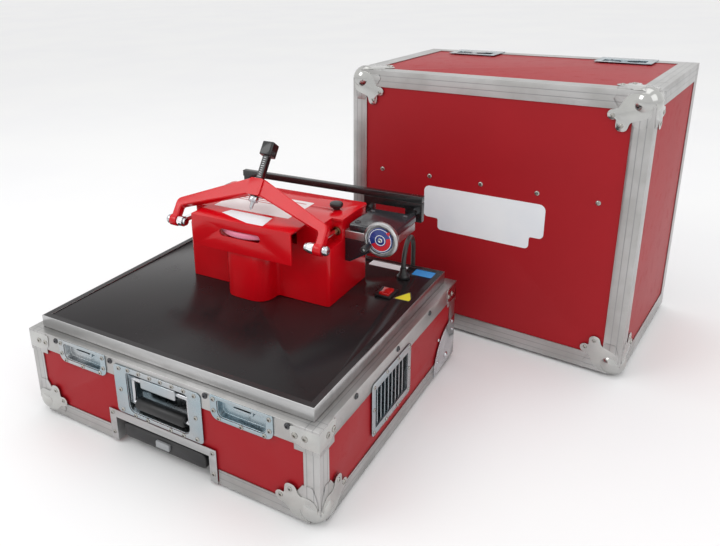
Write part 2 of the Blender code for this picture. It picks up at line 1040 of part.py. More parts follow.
def dresser():
    """The yoke that swings over the wheel, with the diamond in its sliding quill.

    Its shapes stand in the yoke's own plane: Y away from the pivot, Z out of the plane.
    """
    pivot = empty("yoke_pivot", (0, PIVOT_Y, ROD_Z), (math.radians(YOKE_LEAN), 0, 0))
    arms = rounded(
        (146, -4),
        (160, -4),
        (160, 40, 12),
        (15, 101, 10),
        (-15, 101, 10),
        (-160, 40, 12),
        (-160, -4),
        (-146, -4),
        (-146, 27, 6),
        (-15, 70, 10),
        (15, 70, 10),
        (146, 27, 6),
    )
    yoke = piece("yoke", RED_PAINT, [plate("z", -8, 8, arms)], parent=pivot, edge=2.0)
    bosses = [rod((s * 153 - 7, 0, 0), (s * 153 + 7, 0, 0), 11, 20) for s in (-1, 1)]
    apex = plate("z", -11, 11, rounded((-14, 70, 4), (14, 70, 4), (14, 101, 4), (-14, 101, 4)))
    join(yoke, "bosses", apex, *bosses)
    bores = [rod((s * 153 - 12, 0, 0), (s * 153 + 12, 0, 0), 4.4, 16) for s in (-1, 1)]
    cut(yoke, "bores", box((-6.3, 60, -6.3), (6.3, 110, 6.3)), *bores)
    cut(yoke, "lock_bore", rod((0, 92, -20), (0, 92, -5), 3.4, 12))

    quill = piece("quill", STEEL, [box((-6, 67.8, -6), (6, 147, 6))], parent=pivot)
    head = plate("y", 146, 171, rounded((-12, -12, 4), (12, -12, 4), (12, 12, 4), (-12, 12, 4)))
    join(quill, "head", head)
    piece(
        "diamond_tip",
        STEEL,
        [
            turned(
                (0, 0, 0),
                (0, 1, 0),
                [(0, 67.5), (9, 67.5), (9, 60), (4, 58), (3.2, 48), (0, 44.5)],
                20,
            )
        ],
        parent=pivot,
        smooth=True,
    )
    piece(
        "lock_knob",
        BLACK_PLASTIC,
        [
            turned(
                (0, 92, 0),
                (0, 0, -1),
                [(0, 6.8), (3, 6.8), (3, 30), (9, 30), (11, 32), (11, 42), (9, 44), (0, 44)],
                20,
            )
        ],
        (0, 92, -20),
        parent=pivot,
        smooth=True,
    )


# Cover -----------------------------------------------------------------------


def case_cover():
    """The deep upper half of the case, standing on its long side with its top to the front.

    Its shapes are upright boxes in the cover's own place: Y from its top face to its opening.
    """
    place = empty("cover_place", COVER_PLACE, (0, 0, COVER_TURN))
    high = COVER_HIGH
    deep = COVER_DEPTH
    shell = piece(
        "cover_shell",
        RED_BOARD,
        [box((-288, 2, 2), (288, deep - 7.2, high - 2))],
        parent=place,
    )
    cut(shell, "inside", box((-281, 9, 9), (281, deep + 5, high - 9)))
    holes = [
        box((s * LATCH_X - 44.5, 304.7, high - 20), (s * LATCH_X + 44.5, 339.3, high + 5))
        for s in (-1, 1)
    ]
    cut(shell, "latch_holes", *holes)

    frame = piece(
        "cover_edge_frame",
        ALUMINIUM,
        [box((-HALF_W, 0, 0), (HALF_W, 33, high))],
        parent=place,
    )
    posts = []
    for s in (-1, 1):
        for z0, z1 in ((0, 33), (high - 33, high)):
            x0, x1 = sorted((s * 257, s * HALF_W))
            posts.append(box((x0, 20, z0), (x1, 339.6, z1)))
    join(frame, "posts", *posts)
    balls = [
        ball((s * (HALF_W - BALL_INSET), BALL_INSET, z), BALL)
        for s in (-1, 1)
        for z in (BALL_INSET, high - BALL_INSET)
    ]
    join(frame, "balls", *balls)
    legs = []
    for s in (-1, 1):
        for z, up in ((0, 1), (high, -1)):
            side = sorted((s * (HALF_W + 1.3), s * (HALF_W - 0.5)))
            faces = [
                ("y", -1.3, 0.5, (s * HALF_W, -s), (z, up)),
                ("x", side[0], side[1], (0, 1), (z, up)),
            ]
            if up < 0:
                faces.append(("z", high - 0.5, high + 1.3, (s * HALF_W, -s), (0, 1)))
            legs += leg_plates(faces)
    join(frame, "legs", *legs)
    cut(frame, "inside", box((-288.3, SKIN, SKIN), (288.3, 345, high - SKIN)))
    cut(frame, "window", box((-257, -20, 33), (257, 20, high - 33)))
    back = [
        box((-257, 33, -5), (257, 345, 5)),
        box((-257, 33, high - 5), (257, 345, high + 5)),
        box((-295, 33, 33), (-285, 345, high - 33)),
        box((285, 33, 33), (295, 345, high - 33)),
    ]
    cut(frame, "sides", *back)

    rim = piece(
        "cover_rim",
        ALUMINIUM,
        [box((-HALF_W, 340, 0), (HALF_W, deep, high))],
        parent=place,
    )
    cut(rim, "groove", box((-288.3, 330, SKIN), (288.3, deep - 6.9, high - SKIN)))
    cut(rim, "middle", box((-274, 330, 16), (274, deep + 5, high - 16)))

    for side, s in (("left", -1), ("right", 1)):
        x = s * LATCH_X
        dish = piece(
            f"cover_latch_dish_{side}",
            ZINC,
            [box((x - 55, 298, high + GAP), (x + 55, 364, high + 1.8))],
            parent=place,
        )
        join(dish, "pan", box((x - 44, 305, high - 13), (x + 44, 339, high + 1)))
        cut(dish, "hollow", box((x - 42, 307, high - 11), (x + 42, 337, high + 5)))
        butterfly = piece(
            f"cover_latch_{side}",
            ZINC,
            [rod((x, 322, high - 10.5), (x, 322, high + 3), 10, 20)],
            (x, 322, high),
            parent=place,
        )
        wing = rounded((x - 27, 315, 6), (x + 27, 315, 6), (x + 27, 329, 6), (x - 27, 329, 6))
        join(butterfly, "wing", plate("z", high + 2.2, high + 4.6, wing))


# Cord ------------------------------------------------------------------------


def smooth_route(points, spacing):
    """Points spacing apart along a smooth curve through the route points."""
    found = []
    ends = [points[0]] + points + [points[-1]]
    for i in range(len(points) - 1):
        a, b, c, d = [Vector(p) for p in ends[i : i + 4]]
        steps = max(2, round((c - b).length / spacing))
        for k in range(steps):
            t = k / steps
            found.append(
                0.5
                * (
                    2 * b
                    + (c - a) * t
                    + (2 * a - 5 * b + 4 * c - d) * t * t
                    + (3 * b - a - 3 * c + d) * t**3
                )
            )
    found.append(Vector(points[-1]))
    return found


def tube(name, route, spacing):
    """A round cord along a route, its ends closed, as a mesh piece."""
    curve = bpy.data.curves.new(name, "CURVE")
    curve.dimensions = "3D"
    curve.bevel_depth = CORD_R * MM
    curve.bevel_resolution = 2
    curve.use_fill_caps = True
    curve.render_resolution_u = 0
    points = smooth_route(route, spacing)
    spline = curve.splines.new("POLY")
    spline.points.add(len(points) - 1)
    for target, point in zip(spline.points, points):
        target.co = (*(point * MM), 1.0)
    guide = bpy.data.objects.new(name + "_guide", curve)
    bpy.context.scene.collection.objects.link(guide)
    graph = bpy.context.evaluated_depsgraph_get()
    mesh = bpy.data.meshes.new_from_object(guide.evaluated_get(graph))
    bpy.data.objects.remove(guide, do_unlink=True)
    bm = bmesh.new()
    bm.from_mesh(mesh)
    bmesh.ops.remove_doubles(bm, verts=bm.verts, dist=0.00001)
    bmesh.ops.recalc_face_normals(bm, faces=bm.faces)
    bm.to_mesh(mesh)
    bm.free()
    mesh.name = name
    obj = bpy.data.objects.new(name, mesh)
    mesh.materials.clear()
    mesh.materials.append(RUBBER)
    for face in mesh.polygons:
        face.use_smooth = True
    PARTS.objects.link(obj)
    return obj


def supply_route():
    """The cord's line: up out of the gland, over the back edge in an arc, down and along the floor."""
    x, y = GLAND
    lie = FLOOR + CORD_R + 0.05
    drop = Vector((184.5, 275.0, 205.0))
    start = Vector((x, y, 205.0))
    middle = (start + drop) / 2
    half = (start - drop) / 2
    points = [(x, y, 164.0)]
    for k in range(9):
        turn = math.pi * k / 8
        lift = Vector((0, 0, half.length * math.sin(turn)))
        points.append(tuple(middle + half * math.cos(turn) + lift))
    bend = 45.0
    for k in range(5):
        turn = math.pi / 2 * k / 4
        points.append(
            (drop.x - bend * (1 - math.cos(turn)), drop.y, lie + bend * (1 - math.sin(turn)))
        )
    end_y = COIL[1] - COIL_R - 2 * CORD_R
    points += [(95.0, 278.0, lie), (40.0, end_y, lie), (-27.0, end_y, lie)]
    return points


def cord():
    """The supply cord: out of the gland, over the back edge, and coiled behind the case."""
    tube("supply_cord", supply_route(), 20)
    low = FLOOR + 0.1
    outer = COIL_R + 3 * CORD_R
    inner = COIL_R - 3 * CORD_R
    ring = [
        (inner, low + 2),
        (inner + 2, low),
        (outer - 2, low),
        (outer, low + 2),
        (outer, low + 16),
        (outer - 2, low + 18),
        (inner + 2, low + 18),
        (inner, low + 16),
    ]
    piece(
        "cord_coil",
        RUBBER,
        [turned((*COIL, 0), (0, 0, 1), ring, 32, True)],
        smooth=True,
    )
    tail_y = COIL[1] - COIL_R - 2 * CORD_R
    plug = piece(
        "supply_plug",
        BLACK_PLASTIC,
        [
            turned(
                (-128, tail_y, 12),
                (-1, 0, 0),
                [(0, 0), (7, 0), (9, 14), (17.9, 20), (17.9, 40), (16, 44), (0, 44)],
                20,
            )
        ],
        smooth=True,
    )
    pins = [
        rod((-170, tail_y + t * 9.5, 12), (-191, tail_y + t * 9.5, 12), 2.4, 10)
        for t in (-1, 1)
    ]
    join(plug, "pins", *pins)
    join(plug, "flex", rod((-95.5, tail_y, 5), (-134, tail_y, 11.5), CORD_R, 12))


case_base()
front_fittings()
side_fittings()
deck()
machine()
feed()
dresser()
case_cover()
cord()
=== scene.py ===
"""A skate sharpener in its carrying case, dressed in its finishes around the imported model.

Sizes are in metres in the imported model's own frame: X right, Y to the back, Z up.
"""

import json
import math

import bpy
from mathutils import Matrix, Vector


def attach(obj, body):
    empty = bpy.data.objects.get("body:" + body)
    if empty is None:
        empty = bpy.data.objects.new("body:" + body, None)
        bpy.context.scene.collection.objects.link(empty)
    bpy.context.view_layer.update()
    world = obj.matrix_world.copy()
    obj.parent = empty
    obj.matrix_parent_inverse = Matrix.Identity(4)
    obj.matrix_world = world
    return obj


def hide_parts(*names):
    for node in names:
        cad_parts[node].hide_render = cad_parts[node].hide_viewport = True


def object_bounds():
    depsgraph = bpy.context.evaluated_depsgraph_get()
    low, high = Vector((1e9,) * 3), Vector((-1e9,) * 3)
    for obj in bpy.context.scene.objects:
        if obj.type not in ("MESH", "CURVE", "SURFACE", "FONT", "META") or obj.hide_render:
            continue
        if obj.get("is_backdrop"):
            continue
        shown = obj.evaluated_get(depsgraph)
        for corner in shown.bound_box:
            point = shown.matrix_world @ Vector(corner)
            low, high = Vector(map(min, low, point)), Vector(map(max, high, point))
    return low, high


MM = 0.001

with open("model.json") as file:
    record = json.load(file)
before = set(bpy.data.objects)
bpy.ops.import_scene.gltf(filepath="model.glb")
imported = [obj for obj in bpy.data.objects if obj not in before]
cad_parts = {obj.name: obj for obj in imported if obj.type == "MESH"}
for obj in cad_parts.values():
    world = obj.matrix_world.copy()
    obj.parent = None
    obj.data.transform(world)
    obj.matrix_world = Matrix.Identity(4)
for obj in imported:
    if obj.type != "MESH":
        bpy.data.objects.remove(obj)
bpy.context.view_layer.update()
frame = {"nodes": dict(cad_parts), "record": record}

# Places and sizes, as the case and machine were built --------------------------

CASE_HALF = Vector((0.290, 0.265, 0.0))
FLOOR = -0.006
DECK = 0.178
BALL_INSET = (0.0185, 0.0185, 0.0193)
BALL_RADIUS = 0.0252
COVER_PLACE = Matrix.Translation((0.2973, 0.3585, 0.0)) @ Matrix.Rotation(-0.102, 4, "Z")
COVER_HIGH = 0.530
YOKE_PLANE = Matrix.Translation((0.0, -0.019, 0.301)) @ Matrix.Rotation(math.radians(54), 4, "X")
HANDWHEEL = Vector((0.231, 0.0, 0.308))
LATCH_X = 0.162

# Camera ----------------------------------------------------------------------

camera_data = bpy.data.cameras.new("camera")
camera_data.sensor_width = 36.0
camera_data.lens = 35.185
camera_data.shift_x = 0.1037
camera_data.shift_y = -0.1004
camera_data.clip_start = 0.05
camera_data.clip_end = 60.0
camera = bpy.data.objects.new("camera", camera_data)
bpy.context.scene.collection.objects.link(camera)
azimuth, elevation, roll = 0.573168, 0.331244, -0.0343332  # radians
forward = Vector(
    (
        -math.sin(azimuth) * math.cos(elevation),
        math.cos(azimuth) * math.cos(elevation),
        -math.sin(elevation),
    )
)
level = Vector((math.cos(azimuth), math.sin(azimuth), 0.0))
upward = level.cross(forward)
right = math.cos(roll) * level + math.sin(roll) * upward
top = -math.sin(roll) * level + math.cos(roll) * upward
turn = Matrix((right, top, -forward)).transposed().to_4x4()
camera.matrix_world = Matrix.Translation((0.6841, -0.9385, 0.7525)) @ turn
bpy.context.scene.camera = camera


# Tools of the bench ------------------------------------------------------------


def nothing_selected():
    """Leaves object mode ready for a new primitive."""
    if bpy.context.object and bpy.context.object.mode != "OBJECT":
        bpy.ops.object.mode_set(mode="OBJECT")
    bpy.ops.object.select_all(action="DESELECT")


def only(obj):
    """Selects one object and makes it active."""
    nothing_selected()
    obj.hide_set(False)
    obj.select_set(True)
    bpy.context.view_layer.objects.active = obj


def named(name):
    """The primitive just added, its place put into its mesh."""
    obj = bpy.context.object
    obj.name = name
    obj.data.name = name
    bpy.ops.object.transform_apply(location=True, rotation=True, scale=True)
    return obj


def block(name, low, high):
    """A cube primitive between two corners."""
    nothing_selected()
    low, high = Vector(low), Vector(high)
    bpy.ops.mesh.primitive_cube_add(size=1.0, location=(low + high) / 2, scale=high - low)
    return named(name)


def placed(obj, matrix):
    """Moves a finished shape into its place, in its mesh."""
    obj.data.transform(matrix)
    if matrix.determinant() < 0:
        obj.data.flip_normals()
    obj.data.update()
    return obj


def along(at, axis):
    """A place whose own +Z looks along axis."""
    turned = Vector(axis).to_track_quat("Z", "Y").to_matrix().to_4x4()
    return Matrix.Translation(at) @ turned


def modified(obj, kind, **settings):
    """Adds one modifier and applies it."""
    only(obj)
    step = obj.modifiers.new(kind.lower(), kind)
    for key, value in settings.items():
        setattr(step, key, value)
    bpy.ops.object.modifier_apply(modifier=step.name)
    return obj


def softened(obj, width, segments=3, angle=30, hard=False):
    """Rounds the edges. Where hard, the flat faces keep quite flat shading."""
    if hard:
        only(obj)
        bpy.ops.object.shade_smooth()
    modified(
        obj,
        "BEVEL",
        width=width,
        segments=segments,
        limit_method="ANGLE",
        angle_limit=math.radians(angle),
        harden_normals=hard,
    )
    return obj if hard else shaded(obj)


def shaded(obj, angle=38):
    """Smooth shading, split where faces meet at more than this angle."""
    only(obj)
    bpy.ops.object.shade_smooth_by_angle(angle=math.radians(angle))
    return obj


def turned(name, profile, sides=48):
    """A lathe piece: a circle drawn out along +Z through (radius, height) steps."""
    nothing_selected()
    first_r, first_h = profile[0]
    fill = "NGON" if first_r > 0 else "NOTHING"
    start_r = max(first_r, 1e-5)
    bpy.ops.mesh.primitive_circle_add(
        vertices=sides, radius=start_r, fill_type=fill, location=(0, 0, first_h)
    )
    obj = named(name)
    bpy.ops.object.mode_set(mode="EDIT")
    bpy.ops.mesh.select_all(action="SELECT")
    reached = start_r
    height = first_h
    for radius, level_z in profile[1:]:
        radius = max(radius, 1e-5)
        bpy.ops.mesh.extrude_region_move(
            TRANSFORM_OT_translate={"value": (0, 0, level_z - height)}
        )
        share = radius / reached
        bpy.ops.transform.resize(value=(share, share, 1), center_override=(0, 0, level_z))
        reached, height = radius, level_z
    bpy.ops.mesh.select_all(action="SELECT")
    bpy.ops.mesh.remove_doubles(threshold=3e-5)
    bpy.ops.mesh.select_all(action="DESELECT")
    bpy.ops.mesh.select_non_manifold()
    if bpy.context.object.data.total_edge_sel:
        bpy.ops.mesh.edge_face_add()
    bpy.ops.mesh.select_all(action="SELECT")
    bpy.ops.mesh.normals_make_consistent(inside=False)
    bpy.ops.object.mode_set(mode="OBJECT")
    return shaded(obj)


def sheet_piece(name, outline, thickness, holes=()):
    """A flat piece cut to an outline in XY and pulled up from z = 0."""
    nothing_selected()
    drawing = bpy.data.curves.new(name, "CURVE")
    drawing.dimensions = "2D"
    drawing.fill_mode = "BOTH"
    drawing.extrude = thickness / 2
    for line in (outline, *holes):
        spline = drawing.splines.new("POLY")
        spline.points.add(len(line) - 1)
        for point, (x, y) in zip(spline.points, line):
            point.co = (x, y, 0, 1)
        spline.use_cyclic_u = True
    obj = bpy.data.objects.new(name, drawing)
    bpy.context.scene.collection.objects.link(obj)
    only(obj)
    bpy.ops.object.convert(target="MESH")
    obj = bpy.context.object
    bpy.ops.object.mode_set(mode="EDIT")
    bpy.ops.mesh.select_all(action="SELECT")
    bpy.ops.mesh.remove_doubles(threshold=1e-6)
    bpy.ops.mesh.dissolve_limited(angle_limit=math.radians(0.5))
    bpy.ops.mesh.normals_make_consistent(inside=False)
    bpy.ops.object.mode_set(mode="OBJECT")
    obj.data.transform(Matrix.Translation((0, 0, thickness / 2)))
    return obj


def rounded(*corners, step=0.3):
    """Points round a flat shape whose corners are (x, y) or (x, y, radius)."""
    points = []
    count = len(corners)
    for i, corner in enumerate(corners):
        here = Vector(corner[:2])
        radius = corner[2] if len(corner) > 2 else 0.0
        if not radius:
            points.append(tuple(here))
            continue
        back = (Vector(corners[i - 1][:2]) - here).normalized()
        ahead = (Vector(corners[(i + 1) % count][:2]) - here).normalized()
        half = back.angle(ahead) / 2
        middle = here + (back + ahead).normalized() * radius / math.sin(half)
        first = here + back * radius / math.tan(half) - middle
        last = here + ahead * radius / math.tan(half) - middle
        sweep = math.pi - 2 * half
        steps = max(2, math.ceil(sweep / step))
        for k in range(steps + 1):
            part = k / steps
            arm = first * math.sin((1 - part) * sweep) + last * math.sin(part * sweep)
            points.append(tuple(middle + arm / math.sin(sweep)))
    return points


def rounded_box(low_x, low_y, high_x, high_y, radius):
    """The outline of a rectangle with rounded corners."""
    return rounded(
        (low_x, low_y, radius),
        (high_x, low_y, radius),
        (high_x, high_y, radius),
        (low_x, high_y, radius),
    )


def carved(obj, cutter, operation="DIFFERENCE"):
    """Cuts one shape with another, which is used up."""
    modified(obj, "BOOLEAN", object=cutter, operation=operation, solver="EXACT")
    bpy.data.objects.remove(cutter, do_unlink=True)
    return obj


def together(name, *objs):
    """Joins shapes into one piece."""
    nothing_selected()
    for obj in objs:
        obj.select_set(True)
    bpy.context.view_layer.objects.active = objs[0]
    if len(objs) > 1:
        bpy.ops.object.join()
    made = bpy.context.view_layer.objects.active
    made.name = name
    made.data.name = name
    return made


def copies(pattern, places):
    """The pattern at each place, each copy with its own mesh; the pattern is used up."""
    made = []
    for place in places:
        copy = pattern.copy()
        copy.data = pattern.data.copy()
        bpy.context.scene.collection.objects.link(copy)
        made.append(placed(copy, place))
    bpy.data.objects.remove(pattern, do_unlink=True)
    return made


def done(obj, body, look, *nodes, slot=None):
    """Gives a piece its finish and its body, and hides the CAD parts it stands for."""
    obj.data.materials.clear()
    obj.data.materials.append(look)
    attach(obj, body)
    if nodes:
        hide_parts(*nodes)
    return obj


def body_of_node(node):
    """The body that a CAD node rides on."""
    bodies = frame["record"]["behaviour"]["bodies"]
    return next(name for name, members in bodies.items() if node in members)


def refined(node, look, width=0.5 * MM, segments=2, angle=30, trims=()):
    """A copy of a CAD part, trimmed by blocks, its edges rounded, in its finish."""
    source = frame["nodes"][node]
    mesh = source.data.copy()
    obj = bpy.data.objects.new(f"{node}_finished", mesh)
    bpy.context.scene.collection.objects.link(obj)
    only(obj)
    bpy.ops.object.mode_set(mode="EDIT")
    bpy.ops.mesh.select_all(action="SELECT")
    bpy.ops.mesh.remove_doubles(threshold=2e-6)
    bpy.ops.mesh.dissolve_limited(angle_limit=math.radians(1.0))
    bpy.ops.object.mode_set(mode="OBJECT")
    for trim in trims:
        carved(obj, trim)
    softened(obj, width, segments, angle, hard=True)
    slots = {part["node"]: part["material_slot"] for part in frame["record"]["subparts"]}
    return done(obj, body_of_node(node), look, node, slot=slots[node])


# Node groups for the finishes --------------------------------------------------


def new_group(name, inputs, outputs):
    """A shader node group with float and vector sockets."""
    tree = bpy.data.node_groups.new(name, "ShaderNodeTree")
    for label, kind, value in inputs:
        socket = tree.interface.new_socket(label, in_out="INPUT", socket_type=kind)
        if kind == "NodeSocketFloat":
            socket.default_value = value
    for label, kind in outputs:
        tree.interface.new_socket(label, in_out="OUTPUT", socket_type=kind)
    entry = tree.nodes.new("NodeGroupInput")
    leave = tree.nodes.new("NodeGroupOutput")
    return tree, entry, leave


def math_node(tree, operation, a, b=None, c=None):
    """A Math node; each of its values is a number or a socket."""
    node = tree.nodes.new("ShaderNodeMath")
    node.operation = operation
    for socket, value in zip(node.inputs, (a, b, c)):
        if value is None:
            continue
        if isinstance(value, (int, float)):
            socket.default_value = value
        else:
            tree.links.new(value, socket)
    return node.outputs[0]


def noise_node(tree, vector, scale, detail=3.0, rough=0.5):
    """A Noise Texture on a vector."""
    node = tree.nodes.new("ShaderNodeTexNoise")
    node.inputs["Detail"].default_value = detail
    node.inputs["Roughness"].default_value = rough
    if isinstance(scale, (int, float)):
        node.inputs["Scale"].default_value = scale
    else:
        tree.links.new(scale, node.inputs["Scale"])
    tree.links.new(vector, node.inputs["Vector"])
    return node.outputs["Fac"]


def ramp(tree, value, low, high, out_low=0.0, out_high=1.0, smooth=True):
    """A Map Range node."""
    node = tree.nodes.new("ShaderNodeMapRange")
    node.interpolation_type = "SMOOTHSTEP" if smooth else "LINEAR"
    node.inputs["From Min"].default_value = low
    node.inputs["From Max"].default_value = high
    node.inputs["To Min"].default_value = out_low
    node.inputs["To Max"].default_value = out_high
    tree.links.new(value, node.inputs["Value"])
    return node.outputs[0]


def build_surface_group():
    """Large mottling, fine grain and rubbed patches, all from one coordinate."""
    tree, entry, leave = new_group(
        "surface_life",
        [
            ("Vector", "NodeSocketVector", None),
            ("Mottle Scale", "NodeSocketFloat", 8.0),
            ("Grain Scale", "NodeSocketFloat", 600.0),
            ("Rub Scale", "NodeSocketFloat", 40.0),
        ],
        [
            ("Mottle", "NodeSocketFloat"),
            ("Grain", "NodeSocketFloat"),
            ("Rub", "NodeSocketFloat"),
        ],
    )
    mottle = noise_node(tree, entry.outputs["Vector"], entry.outputs["Mottle Scale"], 4.0)
    grain = noise_node(tree, entry.outputs["Vector"], entry.outputs["Grain Scale"], 2.0)
    rub = noise_node(tree, entry.outputs["Vector"], entry.outputs["Rub Scale"], 6.0, 0.65)
    tree.links.new(ramp(tree, mottle, 0.3, 0.7), leave.inputs["Mottle"])
    tree.links.new(grain, leave.inputs["Grain"])
    tree.links.new(ramp(tree, rub, 0.52, 0.72), leave.inputs["Rub"])
    return tree


def build_groove_group():
    """Two fine grooves along the edges of a box-shaped frame, as a height from 1 to 0."""
    tree, entry, leave = new_group(
        "edge_grooves",
        [
            ("Distances", "NodeSocketVector", None),
            ("First", "NodeSocketFloat", 0.010),
            ("Second", "NodeSocketFloat", 0.021),
            ("Width", "NodeSocketFloat", 0.0009),
        ],
        [("Groove", "NodeSocketFloat")],
    )
    split = tree.nodes.new("ShaderNodeSeparateXYZ")
    tree.links.new(entry.outputs["Distances"], split.inputs[0])
    total = None
    for axis in split.outputs:
        for place in ("First", "Second"):
            gap = math_node(tree, "SUBTRACT", axis, entry.outputs[place])
            gap = math_node(tree, "ABSOLUTE", gap)
            gap = math_node(tree, "DIVIDE", gap, entry.outputs["Width"])
            pulse = ramp(tree, gap, 0.6, 1.0, 1.0, 0.0)
            total = pulse if total is None else math_node(tree, "MAXIMUM", total, pulse)
    tree.links.new(total, leave.inputs["Groove"])
    return tree


SURFACE = build_surface_group()
GROOVES = build_groove_group()


def coordinates(tree, scale=(1, 1, 1), turn_z=0.0, centre=(0, 0, 0)):
    """Object coordinates, moved to a centre, turned and stretched."""
    source = tree.nodes.new("ShaderNodeTexCoord")
    shift = tree.nodes.new("ShaderNodeVectorMath")
    shift.operation = "SUBTRACT"
    shift.inputs[1].default_value = centre
    tree.links.new(source.outputs["Object"], shift.inputs[0])
    mapping = tree.nodes.new("ShaderNodeMapping")
    mapping.inputs["Rotation"].default_value = (0, 0, turn_z)
    mapping.inputs["Scale"].default_value = scale
    tree.links.new(shift.outputs[0], mapping.inputs["Vector"])
    return mapping.outputs[0]


def new_look(name, metallic=0.0, coat=0.0, roughness=0.4):
    """A material with its shader, ready for its nodes."""
    made = bpy.data.materials.new(name)
    made.use_nodes = True
    shader = made.node_tree.nodes["Principled BSDF"]
    shader.inputs["Metallic"].default_value = metallic
    shader.inputs["Coat Weight"].default_value = coat
    shader.inputs["Roughness"].default_value = roughness
    return made, made.node_tree, shader


def mixed(tree, factor, first, second):
    """A colour between two others. Each is a colour or a socket."""
    node = tree.nodes.new("ShaderNodeMix")
    node.data_type = "RGBA"
    tree.links.new(factor, node.inputs[0])
    for socket, value in ((node.inputs[6], first), (node.inputs[7], second)):
        if isinstance(value, tuple):
            socket.default_value = (*value, 1.0)
        else:
            tree.links.new(value, socket)
    return node.outputs[2]


def bumped(tree, shader, height, strength, distance):
    """Feeds a height to the shader's normal."""
    bump = tree.nodes.new("ShaderNodeBump")
    bump.inputs["Strength"].default_value = strength
    bump.inputs["Distance"].default_value = distance
    tree.links.new(height, bump.inputs["Height"])
    tree.links.new(bump.outputs[0], shader.inputs["Normal"])


def finish_look(
    name,
    colour,
    second,
    rough,
    metallic=0.0,
    coat=0.0,
    mottle=8.0,
    grain=600.0,
    rub=40.0,
    height=0.0001,
    stretch=(1, 1, 1),
    strength=0.3,
    turn_z=0.0,
    gloss=0.5,
):
    """An even finish with mottling, rubbed patches in its roughness and a fine grain."""
    made, tree, shader = new_look(name, metallic, coat)
    vector = coordinates(tree, stretch, turn_z)
    life = tree.nodes.new("ShaderNodeGroup")
    life.node_tree = SURFACE
    life.inputs["Mottle Scale"].default_value = mottle
    life.inputs["Grain Scale"].default_value = grain
    life.inputs["Rub Scale"].default_value = rub
    tree.links.new(vector, life.inputs["Vector"])
    shader.inputs["Specular IOR Level"].default_value = gloss
    tree.links.new(
        mixed(tree, life.outputs["Mottle"], colour, second), shader.inputs["Base Color"]
    )
    tree.links.new(
        ramp(tree, life.outputs["Rub"], 0.0, 1.0, rough[0], rough[1], False),
        shader.inputs["Roughness"],
    )
    bumped(tree, shader, life.outputs["Grain"], strength, height)
    return made


def grooved_look(name, centre, half, turn_z=0.0):
    """Brushed aluminium angle with two grooves beside each edge of a box, the grooves darkened
    with painted shade.
    """
    made, tree, shader = new_look(name, 1.0)
    local = coordinates(tree, (1, 1, 1), turn_z, centre)
    size = tree.nodes.new("ShaderNodeVectorMath")
    size.operation = "ABSOLUTE"
    tree.links.new(local, size.inputs[0])
    gap = tree.nodes.new("ShaderNodeVectorMath")
    gap.operation = "SUBTRACT"
    gap.inputs[0].default_value = half
    tree.links.new(size.outputs[0], gap.inputs[1])
    groove = tree.nodes.new("ShaderNodeGroup")
    groove.node_tree = GROOVES
    tree.links.new(gap.outputs[0], groove.inputs["Distances"])
    life = tree.nodes.new("ShaderNodeGroup")
    life.node_tree = SURFACE
    life.inputs["Mottle Scale"].default_value = 14.0
    life.inputs["Grain Scale"].default_value = 900.0
    life.inputs["Rub Scale"].default_value = 60.0
    tree.links.new(local, life.inputs["Vector"])
    bare = mixed(tree, life.outputs["Mottle"], (0.40, 0.395, 0.385), (0.50, 0.495, 0.49))
    # Painted shade: the grooves are mixed to a darker grey in the base colour, on top of the bump
    # that cuts them in.
    tree.links.new(
        mixed(tree, groove.outputs["Groove"], bare, (0.33, 0.33, 0.33)),
        shader.inputs["Base Color"],
    )
    tree.links.new(
        ramp(tree, life.outputs["Rub"], 0.0, 1.0, 0.34, 0.5, False),
        shader.inputs["Roughness"],
    )
    fine = math_node(tree, "MULTIPLY", life.outputs["Grain"], 0.05)
    raised = math_node(tree, "SUBTRACT", fine, groove.outputs["Groove"])
    bumped(tree, shader, raised, 0.25, 0.0003)
    return made


# Finishes --------------------------------------------------------------------

LAMINATE = finish_look(
    "red_laminate", (0.33, 0.0065, 0.012), (0.31, 0.006, 0.011), (0.46, 0.54),
    grain=900.0, height=0.0003, strength=0.3, gloss=0.22,
)
ENAMEL = finish_look(
    "red_enamel", (0.60, 0.002, 0.008), (0.55, 0.002, 0.007), (0.17, 0.25),
    grain=160.0, height=0.0003, strength=0.12, mottle=20.0, gloss=0.38,
)
DECK_BLACK = finish_look(
    "black_deck_laminate", (0.016, 0.013, 0.014), (0.013, 0.011, 0.012), (0.24, 0.29),
    grain=1400.0, height=0.00008, strength=0.15, rub=18.0, gloss=0.28,
)
BRUSHED = finish_look(
    "brushed_aluminium", (0.42, 0.42, 0.42), (0.50, 0.50, 0.50), (0.28, 0.42), 1.0,
    grain=300.0, height=0.0001, stretch=(1, 8, 8), strength=0.3,
)
ZINC = finish_look(
    "blue_zinc_plate", (0.34, 0.42, 0.46), (0.44, 0.45, 0.46), (0.24, 0.34), 1.0,
    mottle=12.0, grain=500.0, height=0.00006, strength=0.15,
)
STEEL = finish_look(
    "bright_steel", (0.60, 0.61, 0.63), (0.50, 0.51, 0.53), (0.2, 0.34), 1.0,
    mottle=40.0, grain=900.0, height=0.00006, strength=0.25,
)
CHROME = finish_look(
    "chrome", (0.92, 0.92, 0.94), (0.86, 0.87, 0.89), (0.12, 0.2), 1.0,
    grain=800.0, height=0.00002, strength=0.1,
)
BLACK_PLASTIC = finish_look(
    "black_moulding", (0.010, 0.010, 0.011), (0.014, 0.014, 0.015), (0.34, 0.5),
    grain=1800.0, height=0.0001, strength=0.35,
)
BLACK_METAL = finish_look(
    "black_enamel", (0.014, 0.014, 0.018), (0.022, 0.022, 0.028), (0.2, 0.32),
    coat=0.3, grain=500.0, height=0.00008, strength=0.15,
)
RUBBER = finish_look(
    "black_rubber", (0.008, 0.008, 0.009), (0.012, 0.012, 0.012), (0.42, 0.56),
    grain=1500.0, height=0.00012, strength=0.4,
)
BRONZE = finish_look(
    "dark_bronze", (0.22, 0.13, 0.065), (0.13, 0.08, 0.045), (0.28, 0.42), 1.0,
    mottle=90.0,
)
